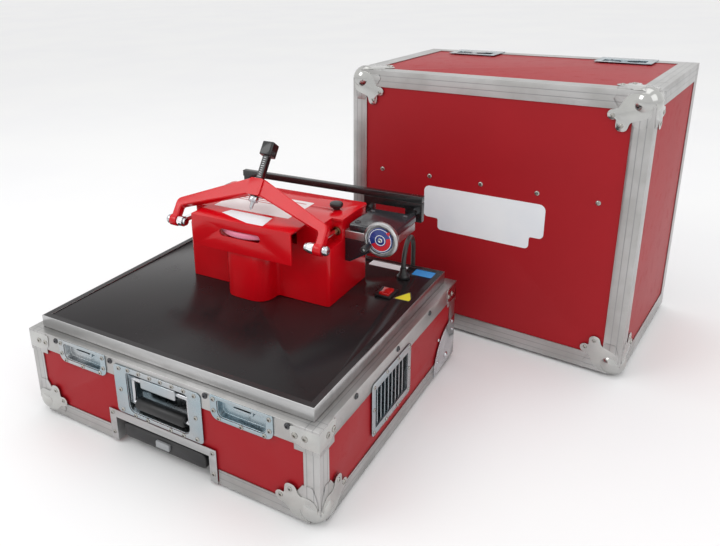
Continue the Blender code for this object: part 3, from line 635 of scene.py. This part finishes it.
ABRASIVE = finish_look(
    "pink_abrasive", (0.74, 0.18, 0.30), (0.84, 0.32, 0.42), (0.85, 0.95),
    mottle=900.0, grain=1600.0, height=0.0006, strength=0.8,
)
RED_LENS = finish_look(
    "red_rocker_plastic", (0.62, 0.012, 0.010), (0.48, 0.008, 0.008), (0.12, 0.2),
    coat=0.5, mottle=60.0, height=0.00004,
)
GREY_PLASTIC = finish_look(
    "grey_moulding", (0.34, 0.35, 0.36), (0.29, 0.30, 0.31), (0.35, 0.48),
    height=0.00008,
)
MOTOR_GREY = finish_look(
    "motor_grey_paint", (0.18, 0.19, 0.20), (0.14, 0.15, 0.16), (0.35, 0.5),
    height=0.0002,
)
BLACK_OXIDE = finish_look(
    "black_oxide_steel", (0.008, 0.008, 0.009), (0.012, 0.012, 0.012), (0.22, 0.36),
    coat=0.15, mottle=30.0, grain=700.0, height=0.00006, strength=0.2,
)
CHROMED_STEEL = finish_look(
    "nickel_plate", (0.46, 0.46, 0.45), (0.53, 0.53, 0.51), (0.14, 0.24), 1.0,
    mottle=30.0, grain=500.0, height=0.00005, strength=0.15,
)
RIVET = finish_look(
    "rivet_steel", (0.42, 0.41, 0.38), (0.34, 0.33, 0.31), (0.22, 0.36), 1.0,
    mottle=80.0, grain=500.0, height=0.00004, strength=0.15,
)
CORD_GREY = finish_look(
    "grey_cord_rubber", (0.030, 0.034, 0.032), (0.040, 0.044, 0.041), (0.32, 0.44),
    grain=1500.0, height=0.00005, strength=0.2,
)
RED_FILM = finish_look(
    "red_film", (0.46, 0.012, 0.020), (0.42, 0.010, 0.018), (0.3, 0.4), height=0.00003,
)
PALE_STICKER = finish_look(
    "pale_pink_film", (0.74, 0.66, 0.66), (0.78, 0.74, 0.74), (0.3, 0.42), height=0.00003,
)
DIAL_BLUE = finish_look(
    "dial_blue", (0.016, 0.035, 0.22), (0.012, 0.028, 0.18), (0.2, 0.3), coat=0.2,
    height=0.00003,
)
DIAL_RED = finish_look(
    "dial_red", (0.60, 0.02, 0.03), (0.52, 0.015, 0.025), (0.2, 0.3), height=0.00003,
)
WHITE_STICKER = finish_look(
    "white_film", (0.80, 0.82, 0.84), (0.72, 0.75, 0.79), (0.3, 0.42), height=0.00003,
)
BLUE_STICKER = finish_look(
    "blue_film", (0.03, 0.30, 0.72), (0.02, 0.24, 0.62), (0.3, 0.4), height=0.00003,
)
YELLOW_STICKER = finish_look(
    "yellow_film", (0.86, 0.78, 0.05), (0.80, 0.70, 0.04), (0.3, 0.4), height=0.00003,
)
DARK_FILM = finish_look(
    "dark_film", (0.03, 0.03, 0.04), (0.05, 0.05, 0.06), (0.3, 0.4), height=0.00003,
)
BASE_ANGLE = grooved_look("base_angle_aluminium", (0, 0, 0.29), (0.290, 0.265, 0.290))
cover_middle = COVER_PLACE @ Vector((0, 0.29, COVER_HIGH / 2))
COVER_ANGLE = grooved_look(
    "cover_angle_aluminium", tuple(cover_middle), (0.290, 0.290, 0.265), 0.102
)


# Cord --------------------------------------------------------------------------

CORD_R = 0.0045
GLAND = Vector((0.2145, 0.188, 0.199))
COIL = Vector((-0.060, 0.340, 0.0))
COIL_R = 0.045
COIL_TURNS = 4
TAIL_LENGTH = 0.074
DROP = Vector((0.1995, 0.2725, 0.199))  # where the cord goes over the back edge
FLOOR_BEND = 0.045
LIE = FLOOR + CORD_R + 0.00005


def cord_line():
    """The cord's points: out of the gland, over the back edge, along the floor, coiled."""
    middle = (GLAND + DROP) / 2
    half = (GLAND - DROP) / 2
    points = [GLAND.copy()]
    for k in range(1, 25):
        turn = math.pi * k / 24
        lift = Vector((0, 0, half.length * math.sin(turn)))
        points.append(middle + half * math.cos(turn) + lift)
    for z in (0.18, 0.155, 0.13, 0.105, 0.08, 0.06):
        points.append(Vector((DROP.x, DROP.y, z)))
    for k in range(1, 11):
        turn = math.pi / 2 * k / 10
        points.append(
            Vector(
                (
                    DROP.x - FLOOR_BEND * (1 - math.cos(turn)),
                    DROP.y,
                    LIE + FLOOR_BEND * (1 - math.sin(turn)),
                )
            )
        )
    outside = COIL_R + 2 * CORD_R
    end_y = COIL.y - outside
    for part in (0.15, 0.35, 0.55, 0.8):
        ease = part * part * (3 - 2 * part)
        x = DROP.x - FLOOR_BEND + (COIL.x - DROP.x + FLOOR_BEND) * part
        points.append(Vector((x, DROP.y + (end_y - DROP.y) * ease, LIE)))
    for k in range(COIL_TURNS * 32 + 1):
        at = k / 32
        inward = at * 2 * CORD_R if at <= 2 else (COIL_TURNS - at) * 2 * CORD_R
        radius = outside - inward
        rise = min(max((at - 1.86) / 0.28, 0.0), 1.0)
        rise = rise * rise * (3 - 2 * rise)
        angle = -math.pi / 2 - math.tau * at
        points.append(
            Vector(
                (
                    COIL.x + radius * math.cos(angle),
                    COIL.y + radius * math.sin(angle),
                    LIE + rise * 2 * CORD_R,
                )
            )
        )
    for part in (0.25, 0.5, 0.75, 1.0):
        ease = part * part * (3 - 2 * part)
        height = LIE + 2 * CORD_R + ease * (0.012 - LIE - 2 * CORD_R)
        points.append(Vector((COIL.x - TAIL_LENGTH * part, end_y, height)))
    return points


line = cord_line()
cable = bpy.data.curves.new("supply_lead", "CURVE")
cable.dimensions = "3D"
cable.bevel_depth = CORD_R
cable.bevel_resolution = 5
cable.use_fill_caps = True
cable_line = cable.splines.new("POLY")
cable_line.points.add(len(line) - 1)
for target, point in zip(cable_line.points, line):
    target.co = (*point, 1.0)
cable_line.use_smooth = True
lead = bpy.data.objects.new("supply_lead", cable)
bpy.context.scene.collection.objects.link(lead)
done(lead, "case", CORD_GREY, "supply_cord", "cord_coil", slot="rubber")
plug = refined("supply_plug", BLACK_PLASTIC, 0.4 * MM)


# Finished copies of the CAD parts whose shape is right --------------------------

def corner_block(place, corner, inward, size=18 * MM):
    """A block that takes the sharp corner off, where a ball corner goes."""
    corner, inward = Vector(corner), Vector(inward)
    a, b = corner - inward * 8 * MM, corner + inward * size
    low = [min(p) for p in zip(a, b)]
    high = [max(p) for p in zip(a, b)]
    return placed(block("trim", low, high), place)


def base_corners():
    """The two lower front corners of the case."""
    here = Matrix.Identity(4)
    return [
        corner_block(here, (s * 0.290, -0.265, 0.0), (-s, 1, 1)) for s in (-1, 1)
    ]


def cover_corners():
    """The four corners of the cover's closed face."""
    return [
        corner_block(COVER_PLACE, (s * 0.290, 0.0, z), (-s, 1, 1 if z == 0 else -1))
        for s in (-1, 1)
        for z in (0.0, COVER_HIGH)
    ]


refined("base_tray", LAMINATE, 0.4 * MM, trims=base_corners())
refined("base_front_panel", LAMINATE, 0.4 * MM, trims=base_corners())
refined("cover_shell", LAMINATE, 0.4 * MM, trims=cover_corners())
refined("base_rim", BASE_ANGLE, 0.6 * MM)
refined("base_edge_frame", BASE_ANGLE, 0.4 * MM, trims=base_corners())
refined("cover_edge_frame", COVER_ANGLE, 0.4 * MM, trims=cover_corners())
refined("cover_rim", COVER_ANGLE, 0.6 * MM)
refined("deck_board", DECK_BLACK, 0.3 * MM)
refined("deck_edge", BRUSHED, 0.5 * MM)
for side in ("left", "right"):
    refined(f"cover_latch_dish_{side}", ZINC, 0.5 * MM)
    refined(f"cover_latch_{side}", ZINC, 0.5 * MM)
    refined(f"vent_dish_{side}", ZINC, 0.5 * MM)
    refined(f"wheel_bracket_{side}", STEEL, 0.4 * MM)
    refined(f"guide_rod_{side}", CHROME, 0.3 * MM)
    refined(f"pivot_bolt_{side}", STEEL, 0.3 * MM)
    refined(f"rod_bush_{side}", BRONZE, 0.3 * MM)
    refined(f"case_wheel_{side}", RUBBER, 0.6 * MM)
for side, s in (("left", -1), ("right", 1)):
    knob = turned(
        f"guard_screw_{side}",
        [
            (4.0 * MM, 325.2 * MM),
            (6.4 * MM, 326.0 * MM),
            (6.4 * MM, 328.4 * MM),
            (10.6 * MM, 330.0 * MM),
            (12.0 * MM, 332.2 * MM),
            (12.0 * MM, 335.6 * MM),
            (11.0 * MM, 337.6 * MM),
            (8.6 * MM, 338.6 * MM),
            (0, 339.0 * MM),
        ],
        40,
    )
    placed(knob, Matrix.Translation((s * 0.117, 0.108, 0)))
    body = f"{side}_guard_knob"
    done(knob, body, BLACK_PLASTIC, f"guard_knob_{side}", slot="black_plastic")
for node, look, width in (
    ("handle_bail", STEEL, 0.3),
    ("handle_grip", RUBBER, 0.5),
    ("pull_handle_channel", BRUSHED, 0.5),
    ("pull_handle", BLACK_PLASTIC, 1.0),
    ("pull_handle_button", GREY_PLASTIC, 0.6),
    ("switch_bezel", BLACK_PLASTIC, 0.5),
    ("switch_rocker", RED_LENS, 0.8),
):
    refined(node, look, width * MM)
gland = turned(
    "strain_relief",
    [
        (12.0 * MM, 178.35 * MM),
        (12.6 * MM, 180.0 * MM),
        (12.0 * MM, 183.0 * MM),
        (9.6 * MM, 185.0 * MM),
        (9.2 * MM, 186.6 * MM),
        (8.4 * MM, 187.2 * MM),
        (8.2 * MM, 188.6 * MM),
        (7.6 * MM, 189.2 * MM),
        (7.4 * MM, 190.6 * MM),
        (6.9 * MM, 191.2 * MM),
        (6.7 * MM, 192.6 * MM),
        (6.2 * MM, 193.2 * MM),
        (6.0 * MM, 197.6 * MM),
        (5.2 * MM, 198.8 * MM),
        (0, 198.9 * MM),
    ],
    40,
)
placed(gland, Matrix.Translation((GLAND.x, GLAND.y, 0)))
done(gland, "case", BLACK_PLASTIC, "cord_gland", slot="black_plastic")
for node, look, width, segments in (
    ("machine_body", ENAMEL, 2.0, 4),
    ("motor_housing", MOTOR_GREY, 0.8, 2),
    ("wheel_spindle", STEEL, 0.3, 2),
    ("spindle_nut", STEEL, 0.5, 2),
    ("grinding_wheel", ABRASIVE, 0.5, 2),
    ("wheel_guard", ENAMEL, 0.8, 3),
    ("crossbar", BLACK_OXIDE, 0.6, 2),
    ("feed_bracket", BLACK_OXIDE, 0.6, 2),
    ("slide_housing", BRUSHED, 0.6, 2),
    ("slide_cover", BLACK_METAL, 1.0, 2),
    ("slide_gusset", BLACK_METAL, 0.6, 2),
    ("feed_screw", STEEL, 0.3, 2),
    ("handwheel", BRUSHED, 0.5, 2),
    ("crank_knob", BLACK_PLASTIC, 0.5, 2),
    ("yoke", ENAMEL, 3.0, 4),
    ("quill", BLACK_OXIDE, 1.4, 3),
    ("diamond_tip", STEEL, 0.3, 2),
    ("lock_knob", BLACK_PLASTIC, 0.6, 2),
):
    refined(node, look, width * MM, segments)

# Pressed dishes -----------------------------------------------------------------


def pressed_dish(name, plate, hole, depth, place):
    """A flat plate with a rounded pan pressed into it, its front on z = 0, in millimetres."""
    line = [(x * MM, y * MM) for x, y in plate]
    mouth = [(x * MM, y * MM) for x, y in hole]
    face = placed(
        sheet_piece(f"{name}_face", line, 1.5 * MM, [mouth]),
        Matrix.Translation((0, 0, -1.5 * MM)),
    )
    wall = placed(
        sheet_piece(f"{name}_wall", mouth, (depth - 1.5) * MM),
        Matrix.Translation((0, 0, -depth * MM)),
    )
    only(wall)
    bpy.ops.object.mode_set(mode="EDIT")
    bpy.ops.mesh.select_all(action="DESELECT")
    bpy.ops.object.mode_set(mode="OBJECT")
    for face_of in wall.data.polygons:
        face_of.select = abs(face_of.normal.z - 1) < 0.01
    bpy.ops.object.mode_set(mode="EDIT")
    bpy.ops.mesh.select_mode(type="FACE")
    bpy.ops.mesh.inset(thickness=1.2 * MM, depth=0)
    bpy.ops.mesh.extrude_region_move(
        TRANSFORM_OT_translate={"value": (0, 0, -(depth - 2.6) * MM)}
    )
    bpy.ops.transform.resize(value=(0.95, 0.9, 1))
    bpy.ops.mesh.select_mode(type="VERT")
    bpy.ops.mesh.select_all(action="SELECT")
    bpy.ops.mesh.normals_make_consistent(inside=False)
    bpy.ops.object.mode_set(mode="OBJECT")
    softened(wall, 1.2 * MM, 4, 40)
    softened(face, 0.5 * MM, 3, 40)
    return placed(together(name, face, wall), place)


case_front = Matrix.Translation((0, -0.2668, 0)) @ Matrix.Rotation(math.pi / 2, 4, "X")
latch_plate = rounded((-55, 117, 13), (55, 117, 13), (55, 157.7, 2), (-55, 157.7, 2))
latch_mouth = rounded((-43, 123, 10), (43, 123, 10), (43, 152, 5), (-43, 152, 5))
for side, s in (("left", -1), ("right", 1)):
    shift = case_front @ Matrix.Translation((s * LATCH_X, 0, 0))
    pan = pressed_dish(f"catch_dish_{side}", latch_plate, latch_mouth, 12.5, shift)
    hook = block("hook", (-17 * MM, 139 * MM, -11 * MM), (17 * MM, 147 * MM, -6.5 * MM))
    lip = block("lip", (-15 * MM, 145 * MM, -8 * MM), (15 * MM, 147 * MM, -2.5 * MM))
    parts = [pan, placed(softened(hook, 1.2 * MM), shift), placed(softened(lip, 0.6 * MM), shift)]
    dish = together(f"catch_dish_{side}", *parts)
    done(dish, "case", ZINC, f"base_latch_dish_{side}", slot="zinc_plate")

handle_plate = rounded((-89, 61, 7), (89, 61, 7), (89, 150, 7), (-89, 150, 7))
handle_mouth = rounded(
    (-63.2, 67.5, 12), (63.2, 67.5, 12), (63.2, 140.5, 6), (-63.2, 140.5, 6)
)
pan = pressed_dish("handle_pan", handle_plate, handle_mouth, 30, case_front)
clamp = block("clamp", (-36 * MM, -264.5 * MM, 118 * MM), (36 * MM, -238.5 * MM, 136 * MM))
softened(clamp, 2.5 * MM, 4)
done(together("handle_pan", pan, clamp), "case", ZINC, "handle_dish", slot="zinc_plate")


# Hardware of the case: corners, rivets and screws ---------------------------------


def rivet_pattern(name="rivet", radius=3.8, height=1.6):
    """A pop rivet with its small dimple, standing on z = 0."""
    r, h = radius * MM, height * MM
    return turned(
        name,
        [
            (r, -0.2 * MM),
            (r, 0.3 * h),
            (0.86 * r, 0.75 * h),
            (0.6 * r, h),
            (0.46 * r, h),
            (0.38 * r, 0.12 * h),
            (0, 0.1 * h),
        ],
        16,
    )


def screw_pattern(name="screw"):
    """A black domed screw with a socket in its head, standing on z = 0."""
    return turned(
        name,
        [
            (5.0 * MM, -0.2 * MM),
            (5.0 * MM, 0.6 * MM),
            (4.5 * MM, 1.7 * MM),
            (3.3 * MM, 2.6 * MM),
            (1.7 * MM, 2.9 * MM),
            (1.5 * MM, 1.6 * MM),
            (0, 1.5 * MM),
        ],
        20,
    )


def row_of(pattern, name, places, body, look):
    """One piece made of the pattern at each place."""
    return done(together(name, *copies(pattern, places)), body, look)


def front(x, z, out=0.0):
    """A place on the case's front, looking forward; x and z in millimetres."""
    return along((x * MM, -CASE_HALF.y - out * MM, z * MM), (0, -1, 0))


def flank(side, y, z, out=0.0):
    """A place on the case's left (-1) or right (1) side, in millimetres."""
    return along((side * (CASE_HALF.x + out * MM), y * MM, z * MM), (side, 0, 0))


def corner_plate(name, near, far):
    """A two-lobed corner plate, drawn from the corner along its two edges, in millimetres."""
    ax, ay = near
    bx, by = far
    line = rounded(
        (17, 17),
        (22, 3, 4),
        (44, 6, 14),
        (ax - 7, ay - 12, 9),
        (ax + 9, ay - 9, 8.5),
        (ax + 9, ay + 9, 8.5),
        (ax - 6, ay + 6, 2),
        (bx + 9, by + 2, 3),
        (bx + 9, by + 10, 8.5),
        (bx - 9, by + 9, 8.5),
        (bx - 13, by - 7, 9),
        (6, 44, 14),
        (3, 22, 4),
    )
    obj = sheet_piece(name, [(x * MM, y * MM) for x, y in line], 1.4 * MM)
    return softened(obj, 0.35 * MM, 2)


def corner_hardware(name, corner, edges, lobes, skin, body, skip=()):
    """A ball corner: the ball, its riveted plates lying on a skin, and their rivets."""
    ax, ay, az = (Vector(edge) for edge in edges)
    nothing_selected()
    centre = Vector(corner) + ax * BALL_INSET[0] + ay * BALL_INSET[1] + az * BALL_INSET[2]
    bpy.ops.mesh.primitive_uv_sphere_add(
        segments=40, ring_count=20, radius=BALL_RADIUS, location=centre
    )
    knob = named(f"{name}_ball")
    bpy.ops.object.mode_set(mode="EDIT")
    bpy.ops.mesh.select_all(action="SELECT")
    bpy.ops.mesh.bisect(
        plane_co=centre + (ax + ay + az).normalized() * BALL_RADIUS * 0.5,
        plane_no=(ax + ay + az).normalized(),
        clear_outer=True,
        use_fill=True,
    )
    bpy.ops.object.mode_set(mode="OBJECT")
    shapes = [shaded(knob, 50)]
    heads = []
    for k, (u, v, n) in enumerate(((ax, az, -ay), (ay, az, -ax), (ax, ay, -az))):
        if k in skip:
            continue
        place = Matrix.Translation(Vector(corner) + n * skin * MM)
        place = place @ Matrix((u, v, n)).transposed().to_4x4()
        shapes.append(placed(corner_plate(f"{name}_plate_{k}", *lobes), place))
        for x, y in lobes:
            spot = Vector(corner) + (u * x + v * y) * MM + n * (skin + 1.4) * MM
            turn = Matrix((u, v, n)).transposed().to_4x4()
            heads.append(Matrix.Translation(spot) @ turn)
    done(together(name, *shapes), body, CHROMED_STEEL)
    row_of(rivet_pattern(radius=3.8), f"{name}_rivets", heads, body, RIVET)


X, Y, Z = Vector((1, 0, 0)), Vector((0, 1, 0)), Vector((0, 0, 1))
for side, s in (("left", -1), ("right", 1)):
    corner_hardware(
        f"base_corner_{side}",
        (s * 0.290, -0.265, 0.0),
        (-s * X, Y, Z),
        ((64, 32), (48, 48)),
        1.35,
        "case",
        skip=(2,),
    )

cover_x = (COVER_PLACE.to_3x3() @ X).normalized()
cover_y = (COVER_PLACE.to_3x3() @ Y).normalized()
for side, s in (("left", -1), ("right", 1)):
    for end, low_end in (("low", True), ("high", False)):
        corner_hardware(
            f"cover_corner_{end}_{side}",
            COVER_PLACE @ Vector((s * 0.290, 0.0, 0.0 if low_end else COVER_HIGH)),
            (-s * cover_x, cover_y, Z if low_end else -Z),
            ((64, 44), (49, 61)),
            0.05,
            "cover",
            skip=(2,) if low_end else (),
        )

front_rivets = []
for s in (-1, 1):
    at = s * LATCH_X / MM
    for x, z in ((-49, 151), (49, 151), (-49, 132), (49, 132), (-40, 121), (0, 120.5), (40, 121)):
        front_rivets.append(front(at + x, z, 1.8))
    for z in (67, 105, 144):
        front_rivets.append(front(s * 77, z, 1.8))
    for x in (24, 50):
        front_rivets.append(front(s * x, 64, 1.8))
    front_rivets.append(front(s * 104, 52, 1.8))
    front_rivets.append(front(s * 104, 14, 1.8))
for x in (-57, -34, -11, 11, 34, 57):
    front_rivets.append(front(x, 146, 1.8))
row_of(rivet_pattern(), "front_rivets", front_rivets, "case", RIVET)

back_of_dish = []
for x in (-50, -25, 0, 25, 50):
    back_of_dish.append(along((x * MM, -0.2366, 0.108), (0, -1, 0)))
row_of(rivet_pattern(radius=2.6), "handle_dish_back_rivets", back_of_dish, "case", STEEL)

for side, s in (("left", -1), ("right", 1)):
    spots = [flank(s, y, z, 1.9) for y in (-98, 38) for z in (49, 90, 130)]
    spots += [flank(s, y, z, 1.9) for y in (-52, -8) for z in (45.5, 133.5)]
    row_of(rivet_pattern(radius=3.2), f"vent_rivets_{side}", spots, "case", RIVET)

screws = [front(x, 150.5, 0.0) for x in (-225, -97, 97, 240)]
screws += [flank(s, y, 150.5, 0.0) for s in (-1, 1) for y in (-157, -8, 130)]
row_of(screw_pattern(), "rim_screws", screws, "case", BLACK_METAL)

spots = [
    COVER_PLACE @ along((x * MM, 1.9 * MM, z * MM), (0, -1, 0))
    for x, z in ((-218, 323), (-108, 324.5), (1, 325.5), (111, 326.5), (219, 327.5))
]
row_of(rivet_pattern(radius=4.6), "cover_rivets", spots, "cover", RIVET)


# Rim brackets, one round each upper corner of the case ------------------------------


def rim_bracket(side, s, end, t):
    """A bracket wrapped round an upper corner, with two rivets on each leg."""
    legs = []
    corners = ((0, -15), (26, -15, 3), (46, -9, 9), (48, 15, 5), (0, 15))
    outline = rounded(*([value * MM for value in corner] for corner in corners))
    for u, n in ((-s * X, t * Y), (-t * Y, s * X)):
        leg = softened(sheet_piece("leg", outline, 1.3 * MM), 0.3 * MM, 2)
        base = Vector((s * 0.290, t * 0.265, 0.140)) + n * 0.05 * MM - u * 1.3 * MM
        turn = Matrix((u, Z, n)).transposed().to_4x4()
        legs.append(placed(leg, Matrix.Translation(base) @ turn))
    done(together(f"rim_bracket_{end}_{side}", *legs), "case", CHROMED_STEEL)
    heads = []
    for u, n in ((-s * X, t * Y), (-t * Y, s * X)):
        for step in (0.022, 0.038):
            at = Vector((s * 0.290, t * 0.265, 0.1405)) + u * step + n * 1.35 * MM
            heads.append(along(at, n))
    rivets = f"rim_bracket_rivets_{end}_{side}"
    row_of(rivet_pattern(radius=5.0), rivets, heads, "case", RIVET)


for side, s in (("left", -1), ("right", 1)):
    for end, t in (("front", -1), ("back", 1)):
        rim_bracket(side, s, end, t)


# Labels, all left blank ------------------------------------------------------------


def label(name, line, thickness, place, body, look):
    """A thin film cut to an outline in millimetres."""
    obj = sheet_piece(name, [(x * MM, y * MM) for x, y in line], thickness * MM)
    shaded(obj)
    return done(placed(obj, place), body, look)


cover_face = COVER_PLACE @ Matrix.Translation((0, 0.0019, 0)) @ Matrix.Rotation(
    math.pi / 2, 4, "X"
)
label(
    "cover_label",
    rounded(
        (-86, 213, 8),
        (103, 213, 8),
        (103, 238, 4),
        (129.5, 238, 9),
        (129.5, 306, 12),
        (-118.5, 304, 12),
        (-118.5, 237, 9),
        (-86, 237, 4),
    ),
    0.35,
    cover_face,
    "cover",
    WHITE_STICKER,
)
deck_face = Matrix.Translation((0, 0, DECK + 0.00005))
for colour, corners, film in (
    ("white", (130, 214, 205, 236), WHITE_STICKER),
    ("blue", (222, 210, 261, 236), BLUE_STICKER),
):
    label(f"deck_strip_{colour}", rounded_box(*corners, 2), 0.25, deck_face, "case", film)
inner_line = [(x * MM, y * MM) for x, y in rounded_box(-262.1, -237.1, 262.1, 237.1, 1)]
outer_line = [(x * MM, y * MM) for x, y in rounded_box(-272.2, -247.2, 272.2, 247.2, 1)]
margin = sheet_piece("deck_margin", outer_line, 0.12 * MM, [inner_line])
shaded(margin)
placed(margin, Matrix.Translation((0, 0, DECK + 0.00152)))
done(margin, "case", DECK_BLACK, slot="black_laminate")
label(
    "caution_triangle_border",
    rounded((230, 101, 2), (268, 103, 2), (250, 141, 2)),
    0.22,
    deck_face,
    "case",
    DARK_FILM,
)
label(
    "caution_triangle",
    rounded((233.4, 103.4, 1.5), (264.4, 105, 1.5), (249.8, 136.5, 1.5)),
    0.25,
    deck_face @ Matrix.Translation((0, 0, 0.00012)),
    "case",
    YELLOW_STICKER,
)
guard_face = Matrix.Translation((0, 0, 0.3250))
label(
    "guard_label_small",
    [(-88, 34), (-18, 10), (16, 10), (10, 50), (-80, 52)],
    0.3,
    guard_face @ Matrix.Translation((0.030, -0.034, 0)),
    "case",
    WHITE_STICKER,
)
label(
    "guard_label_large",
    rounded_box(-96, 26, 66, 118, 2),
    0.25,
    guard_face,
    "case",
    PALE_STICKER,
)
for k in range(4):
    label(
        f"guard_label_line_{k}",
        rounded_box(-86, 104 - 9 * k, 56 - 14 * (k % 2), 107 - 9 * k, 1),
        0.1,
        guard_face @ Matrix.Translation((0, 0, 0.00025)),
        "case",
        RED_FILM,
    )


# Handwheel's dial --------------------------------------------------------------------


def arc_outline(inner, outer, start, end, steps=20):
    """A band between two radii and two angles in degrees, drawn in millimetres."""
    turns = [math.radians(start + (end - start) * k / steps) for k in range(steps + 1)]
    line = [(outer * math.cos(a), outer * math.sin(a)) for a in turns]
    return line + [(inner * math.cos(a), inner * math.sin(a)) for a in reversed(turns)]


dial_face = Matrix.Translation((HANDWHEEL.x, 0.0472, HANDWHEEL.z)) @ Matrix.Rotation(
    math.pi / 2, 4, "X"
)
dial_plate = turned(
    "dial_plate",
    [
        (20.8 * MM, -2.2 * MM),
        (21.5 * MM, -1.6 * MM),
        (21.5 * MM, -0.3 * MM),
        (21.1 * MM, 0),
        (0, 0),
    ],
    64,
)
done(
    placed(dial_plate, dial_face),
    "feed_handwheel",
    DIAL_BLUE,
    "handwheel_dial",
    slot="black_metal",
)
raised = dial_face @ Matrix.Translation((0, 0, 0.00003))
for name, band, film in (
    ("dial_arc_red", (10.5, 18.5, -150, 20), DIAL_RED),
    ("dial_arc_white", (18.9, 19.9, -178, 178, 48), WHITE_STICKER),
    ("dial_ring", (8.0, 9.2, -178, 178, 40), WHITE_STICKER),
):
    label(name, arc_outline(*band), 0.15, raised, "feed_handwheel", film)
label(
    "dial_arrow",
    [(9.8, 14.5), (15.5, 9.5), (17.8, 18.0)],
    0.2,
    raised,
    "feed_handwheel",
    DIAL_RED,
)
centre_screw = turned(
    "dial_screw",
    [
        (4.2 * MM, 0),
        (4.2 * MM, 1.2 * MM),
        (3.4 * MM, 2.2 * MM),
        (1.8 * MM, 2.3 * MM),
        (0, 1.2 * MM),
    ],
    24,
)
done(placed(centre_screw, raised), "feed_handwheel", STEEL)


# Quill's scale and the bolts of the slide -------------------------------------------

scale_marks = []
for k in range(10):
    half = 3.6 if k % 5 == 0 else 2.2
    y = 106 + 4 * k
    low = (-half * MM, (y - 0.35) * MM, 5.95 * MM)
    high = (half * MM, (y + 0.35) * MM, 6.12 * MM)
    scale_marks.append(block("mark", low, high))
marks = together("quill_scale", *scale_marks)
done(placed(marks, YOKE_PLANE), "dresser_quill", WHITE_STICKER)

bolts = [along((x * MM, y * MM, 0.316), (0, 0, 1)) for x in (170, 232) for y in (88, 150)]
row_of(screw_pattern("slide_bolt"), "slide_bolts", bolts, "case", BLACK_METAL)

bracket_holes = ((178, 24), (178, 72), (250, 78), (252, 60))
spots = [flank(s, y, z, 1.9) for s in (-1, 1) for y, z in bracket_holes]
row_of(rivet_pattern(radius=3.2), "wheel_bracket_rivets", spots, "case", STEEL)


# Floor and light ----------------------------------------------------------------

nothing_selected()
bpy.ops.mesh.primitive_plane_add(size=40.0, location=(0, 0, FLOOR - 0.0003))
floor = named("studio_floor")
paper, tree, shader = new_look("pale_paper", roughness=0.6)
vector = coordinates(tree)
tint = ramp(tree, noise_node(tree, vector, 1.5), 0.3, 0.7)
tree.links.new(
    mixed(tree, tint, (0.86, 0.86, 0.87), (0.88, 0.88, 0.88)), shader.inputs["Base Color"]
)
floor.data.materials.append(paper)
floor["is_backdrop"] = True

world = bpy.data.worlds.new("studio")
bpy.context.scene.world = world
world.use_nodes = True
world.node_tree.nodes["Background"].inputs["Color"].default_value = (1.0, 1.0, 1.0, 1.0)
world.node_tree.nodes["Background"].inputs["Strength"].default_value = 0.95


def softbox(name, at, towards, size, power):
    """A square soft light."""
    lamp = bpy.data.lights.new(name, "AREA")
    lamp.size = size
    lamp.energy = power
    holder = bpy.data.objects.new(name, lamp)
    bpy.context.scene.collection.objects.link(holder)
    aim = Vector(towards) - Vector(at)
    turn = aim.to_track_quat("-Z", "Y").to_matrix().to_4x4()
    holder.matrix_world = Matrix.Translation(at) @ turn


softbox("key", (-1.4, -1.6, 2.2), (0.0, 0.1, 0.2), 1.4, 16.0)
softbox("fill", (2.4, -0.6, 1.8), (0.2, 0.2, 0.2), 1.8, 8.0)
softbox("top", (0.2, 0.6, 2.8), (0.1, 0.2, 0.2), 2.2, 12.0)
bpy.context.scene.view_settings.view_transform = "Standard"

low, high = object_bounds()
